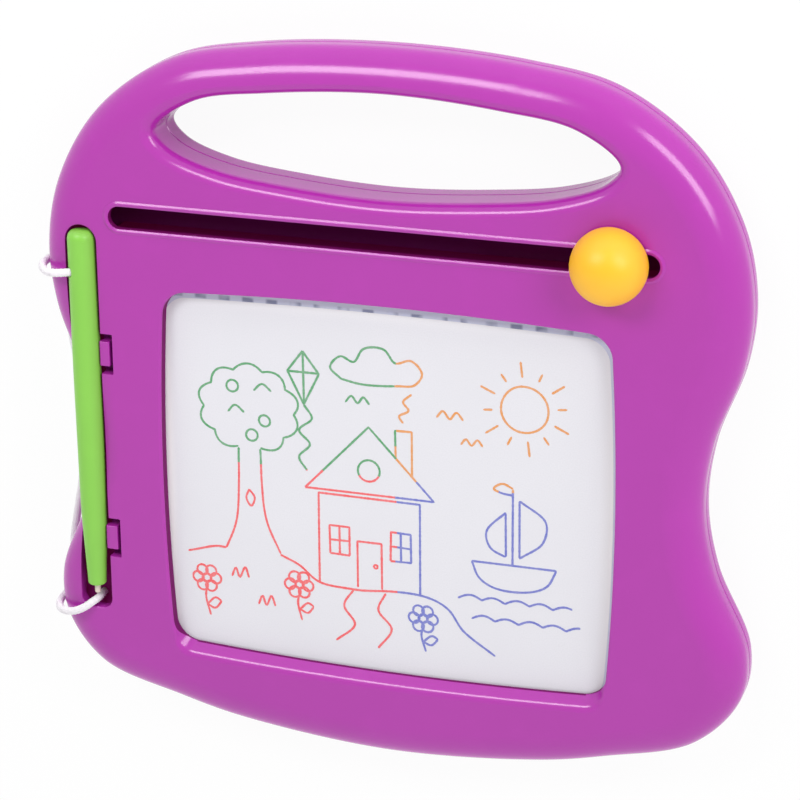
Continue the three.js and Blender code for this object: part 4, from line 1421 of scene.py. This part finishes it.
front = stand_for(front_shell(), "front_shell_moulding", "board", purple, "shell_purple", "front_shell")
paint_shade_inside(front, seam_front, ceiling + fit_gap, 1)
back = stand_for(back_shell(), "back_shell_moulding", "board", purple, "shell_purple", "back_shell")
paint_shade_inside(back, wall - fit_gap, seam_back, -1)
stand_for(white_film(), "screen_white_film", "board", white_screen_film(), "screen_film", "screen_face_film")
stand_for(clear_border(), "screen_clear_border", "board", clear_film(), "screen_film", "screen_face_film")
for colour, piece in drawing().items():
    powder = powder_line(f"powder_{colour}", line_colours[colour])
    stand_for(piece, f"drawing_{colour}", "board", powder, "screen_film")
for screw, centre in zip(screws, screw_centres):
    piece = screw_piece(span(screw)[0][2], centre[0], centre[1])
    stand_for(piece, f"{screw}_pan_head", "board", steel, "screw_steel", screw)
stand_for(eraser_knob(), "eraser_ball", "eraser", yellow, "knob_yellow", "eraser_knob")
stand_for(pen_barrel(), "pen_body", "pen", green, "pen_green", "pen_barrel")
stand_for(pen_end_cap(), "pen_cap", "pen", green, "pen_green", "pen_end_cap")
stand_for(pen_tip(), "pen_point", "pen", tip_beige, "pen_tip", "pen_tip_magnet")
dress(pen_cord, braid)

carried = (
    ("screen_gasket", foam()), ("screen_honeycomb", cell_sheet), ("screen_back_film", cell_floor),
    ("eraser_bar", ivory), ("eraser_magnet_strip", rubber_magnet), ("eraser_screw", steel),
    ("eraser_screw_washer", steel), ("tether_pen_knot", braid), ("tether_anchor_knot", braid),
)
for node, material in carried:
    dress(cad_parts[node], material)


# Light and floor
floor_white_share = 0.94
floor_reach = 3000
floor_z = -0.05
front_dim = 0.15
front_bright = 1.32
front_edge = (0.18, 0.31)
horizon_bright = 1.0
horizon_edge = (0.2, 0.5)
horizon_left_edge = (-0.85, -0.6)
horizon_far_edge = (0.2, 0.8)
horizon_far_gain = 1.5


def soft_light(name, direction, long_side, distance, length, width, radiance):
    """A soft rectangular lamp that faces the board's middle, its long side laid along a direction."""
    lamp = bpy.data.lights.new(name, "AREA")
    lamp.shape = "RECTANGLE"
    lamp.size = length
    lamp.size_y = width
    lamp.energy = 4 * radiance * length * width
    light = bpy.data.objects.new(name, lamp)
    bpy.context.scene.collection.objects.link(light)
    away = Vector(direction).normalized()
    across = Vector(long_side)
    across = (across - away * across.dot(away)).normalized()
    turn = Matrix((across, away.cross(across), away)).transposed().to_4x4()
    light.matrix_world = Matrix.Translation(away * distance) @ turn
    light.visible_camera = False


def seen_directly(nodes):
    """1 for rays from the camera and off gloss or through clear film, else 0."""
    rays = ("Is Camera Ray", "Is Glossy Ray", "Is Transmission Ray")
    camera, glossy, clear = (nodes.node("ShaderNodeLightPath", output=ray) for ray in rays)
    return camera.math("MAXIMUM", glossy).math("MAXIMUM", clear)


def pale_floor():
    """A matt floor that shows nearly white, with a faint shadow under the object."""
    paint = Paint("pale_floor", Base_Color=(0.95, 0.95, 0.95, 1), Roughness=0.9)
    share = seen_directly(paint) * floor_white_share
    glow = paint.node("ShaderNodeEmission")
    matt = Value(paint, paint.shader.outputs[0])
    mixed = paint.node("ShaderNodeMixShader", {}, {0: share, 1: matt, 2: glow})
    paint.fill(paint.tree.nodes["Material Output"].inputs["Surface"], mixed)
    corners = [(x * floor_reach, y * floor_reach, floor_z) for x, y in square_corners]
    floor = add_mesh("floor", corners, [(0, 1, 2, 3)])
    floor.data.materials.append(paint.material)


def studio_world():
    """White where it is seen. Its light is broad from the front, low from the left and dim from overhead."""
    world = bpy.data.worlds.new("studio")
    bpy.context.scene.world = world
    world.use_nodes = True
    nodes = Nodes(world.node_tree)
    where = nodes.node("ShaderNodeTexCoord", output="Generated")
    x, y, z = (nodes.node("ShaderNodeSeparateXYZ", {}, {0: where}, output=axis) for axis in "XYZ")
    front = front_dim + (-1 * y).between(*front_edge) * (front_bright - front_dim)
    horizon = (1 - z.between(*horizon_edge)) * x.between(*horizon_left_edge) * horizon_bright
    horizon = horizon * (1 + y.between(*horizon_far_edge) * horizon_far_gain)
    light = front.math("MAXIMUM", horizon)
    seen = seen_directly(nodes)
    background = world.node_tree.nodes["Background"]
    background.inputs["Color"].default_value = white
    nodes.fill(background.inputs["Strength"], light * (1 - seen) + seen)


soft_light(
    "strip_behind", direction=(-0.33, 0.63, 0.70), long_side=(0.94, 0.27, 0.21),
    distance=1.2, length=0.66, width=0.31, radiance=6.8,
)
soft_light(
    "side_box", direction=(0.67, 0.52, 0.53), long_side=(0.71, -0.70, -0.10),
    distance=1.2, length=0.69, width=0.33, radiance=5.6,
)
pale_floor()
studio_world()
bpy.context.scene.view_settings.view_transform = "Standard"
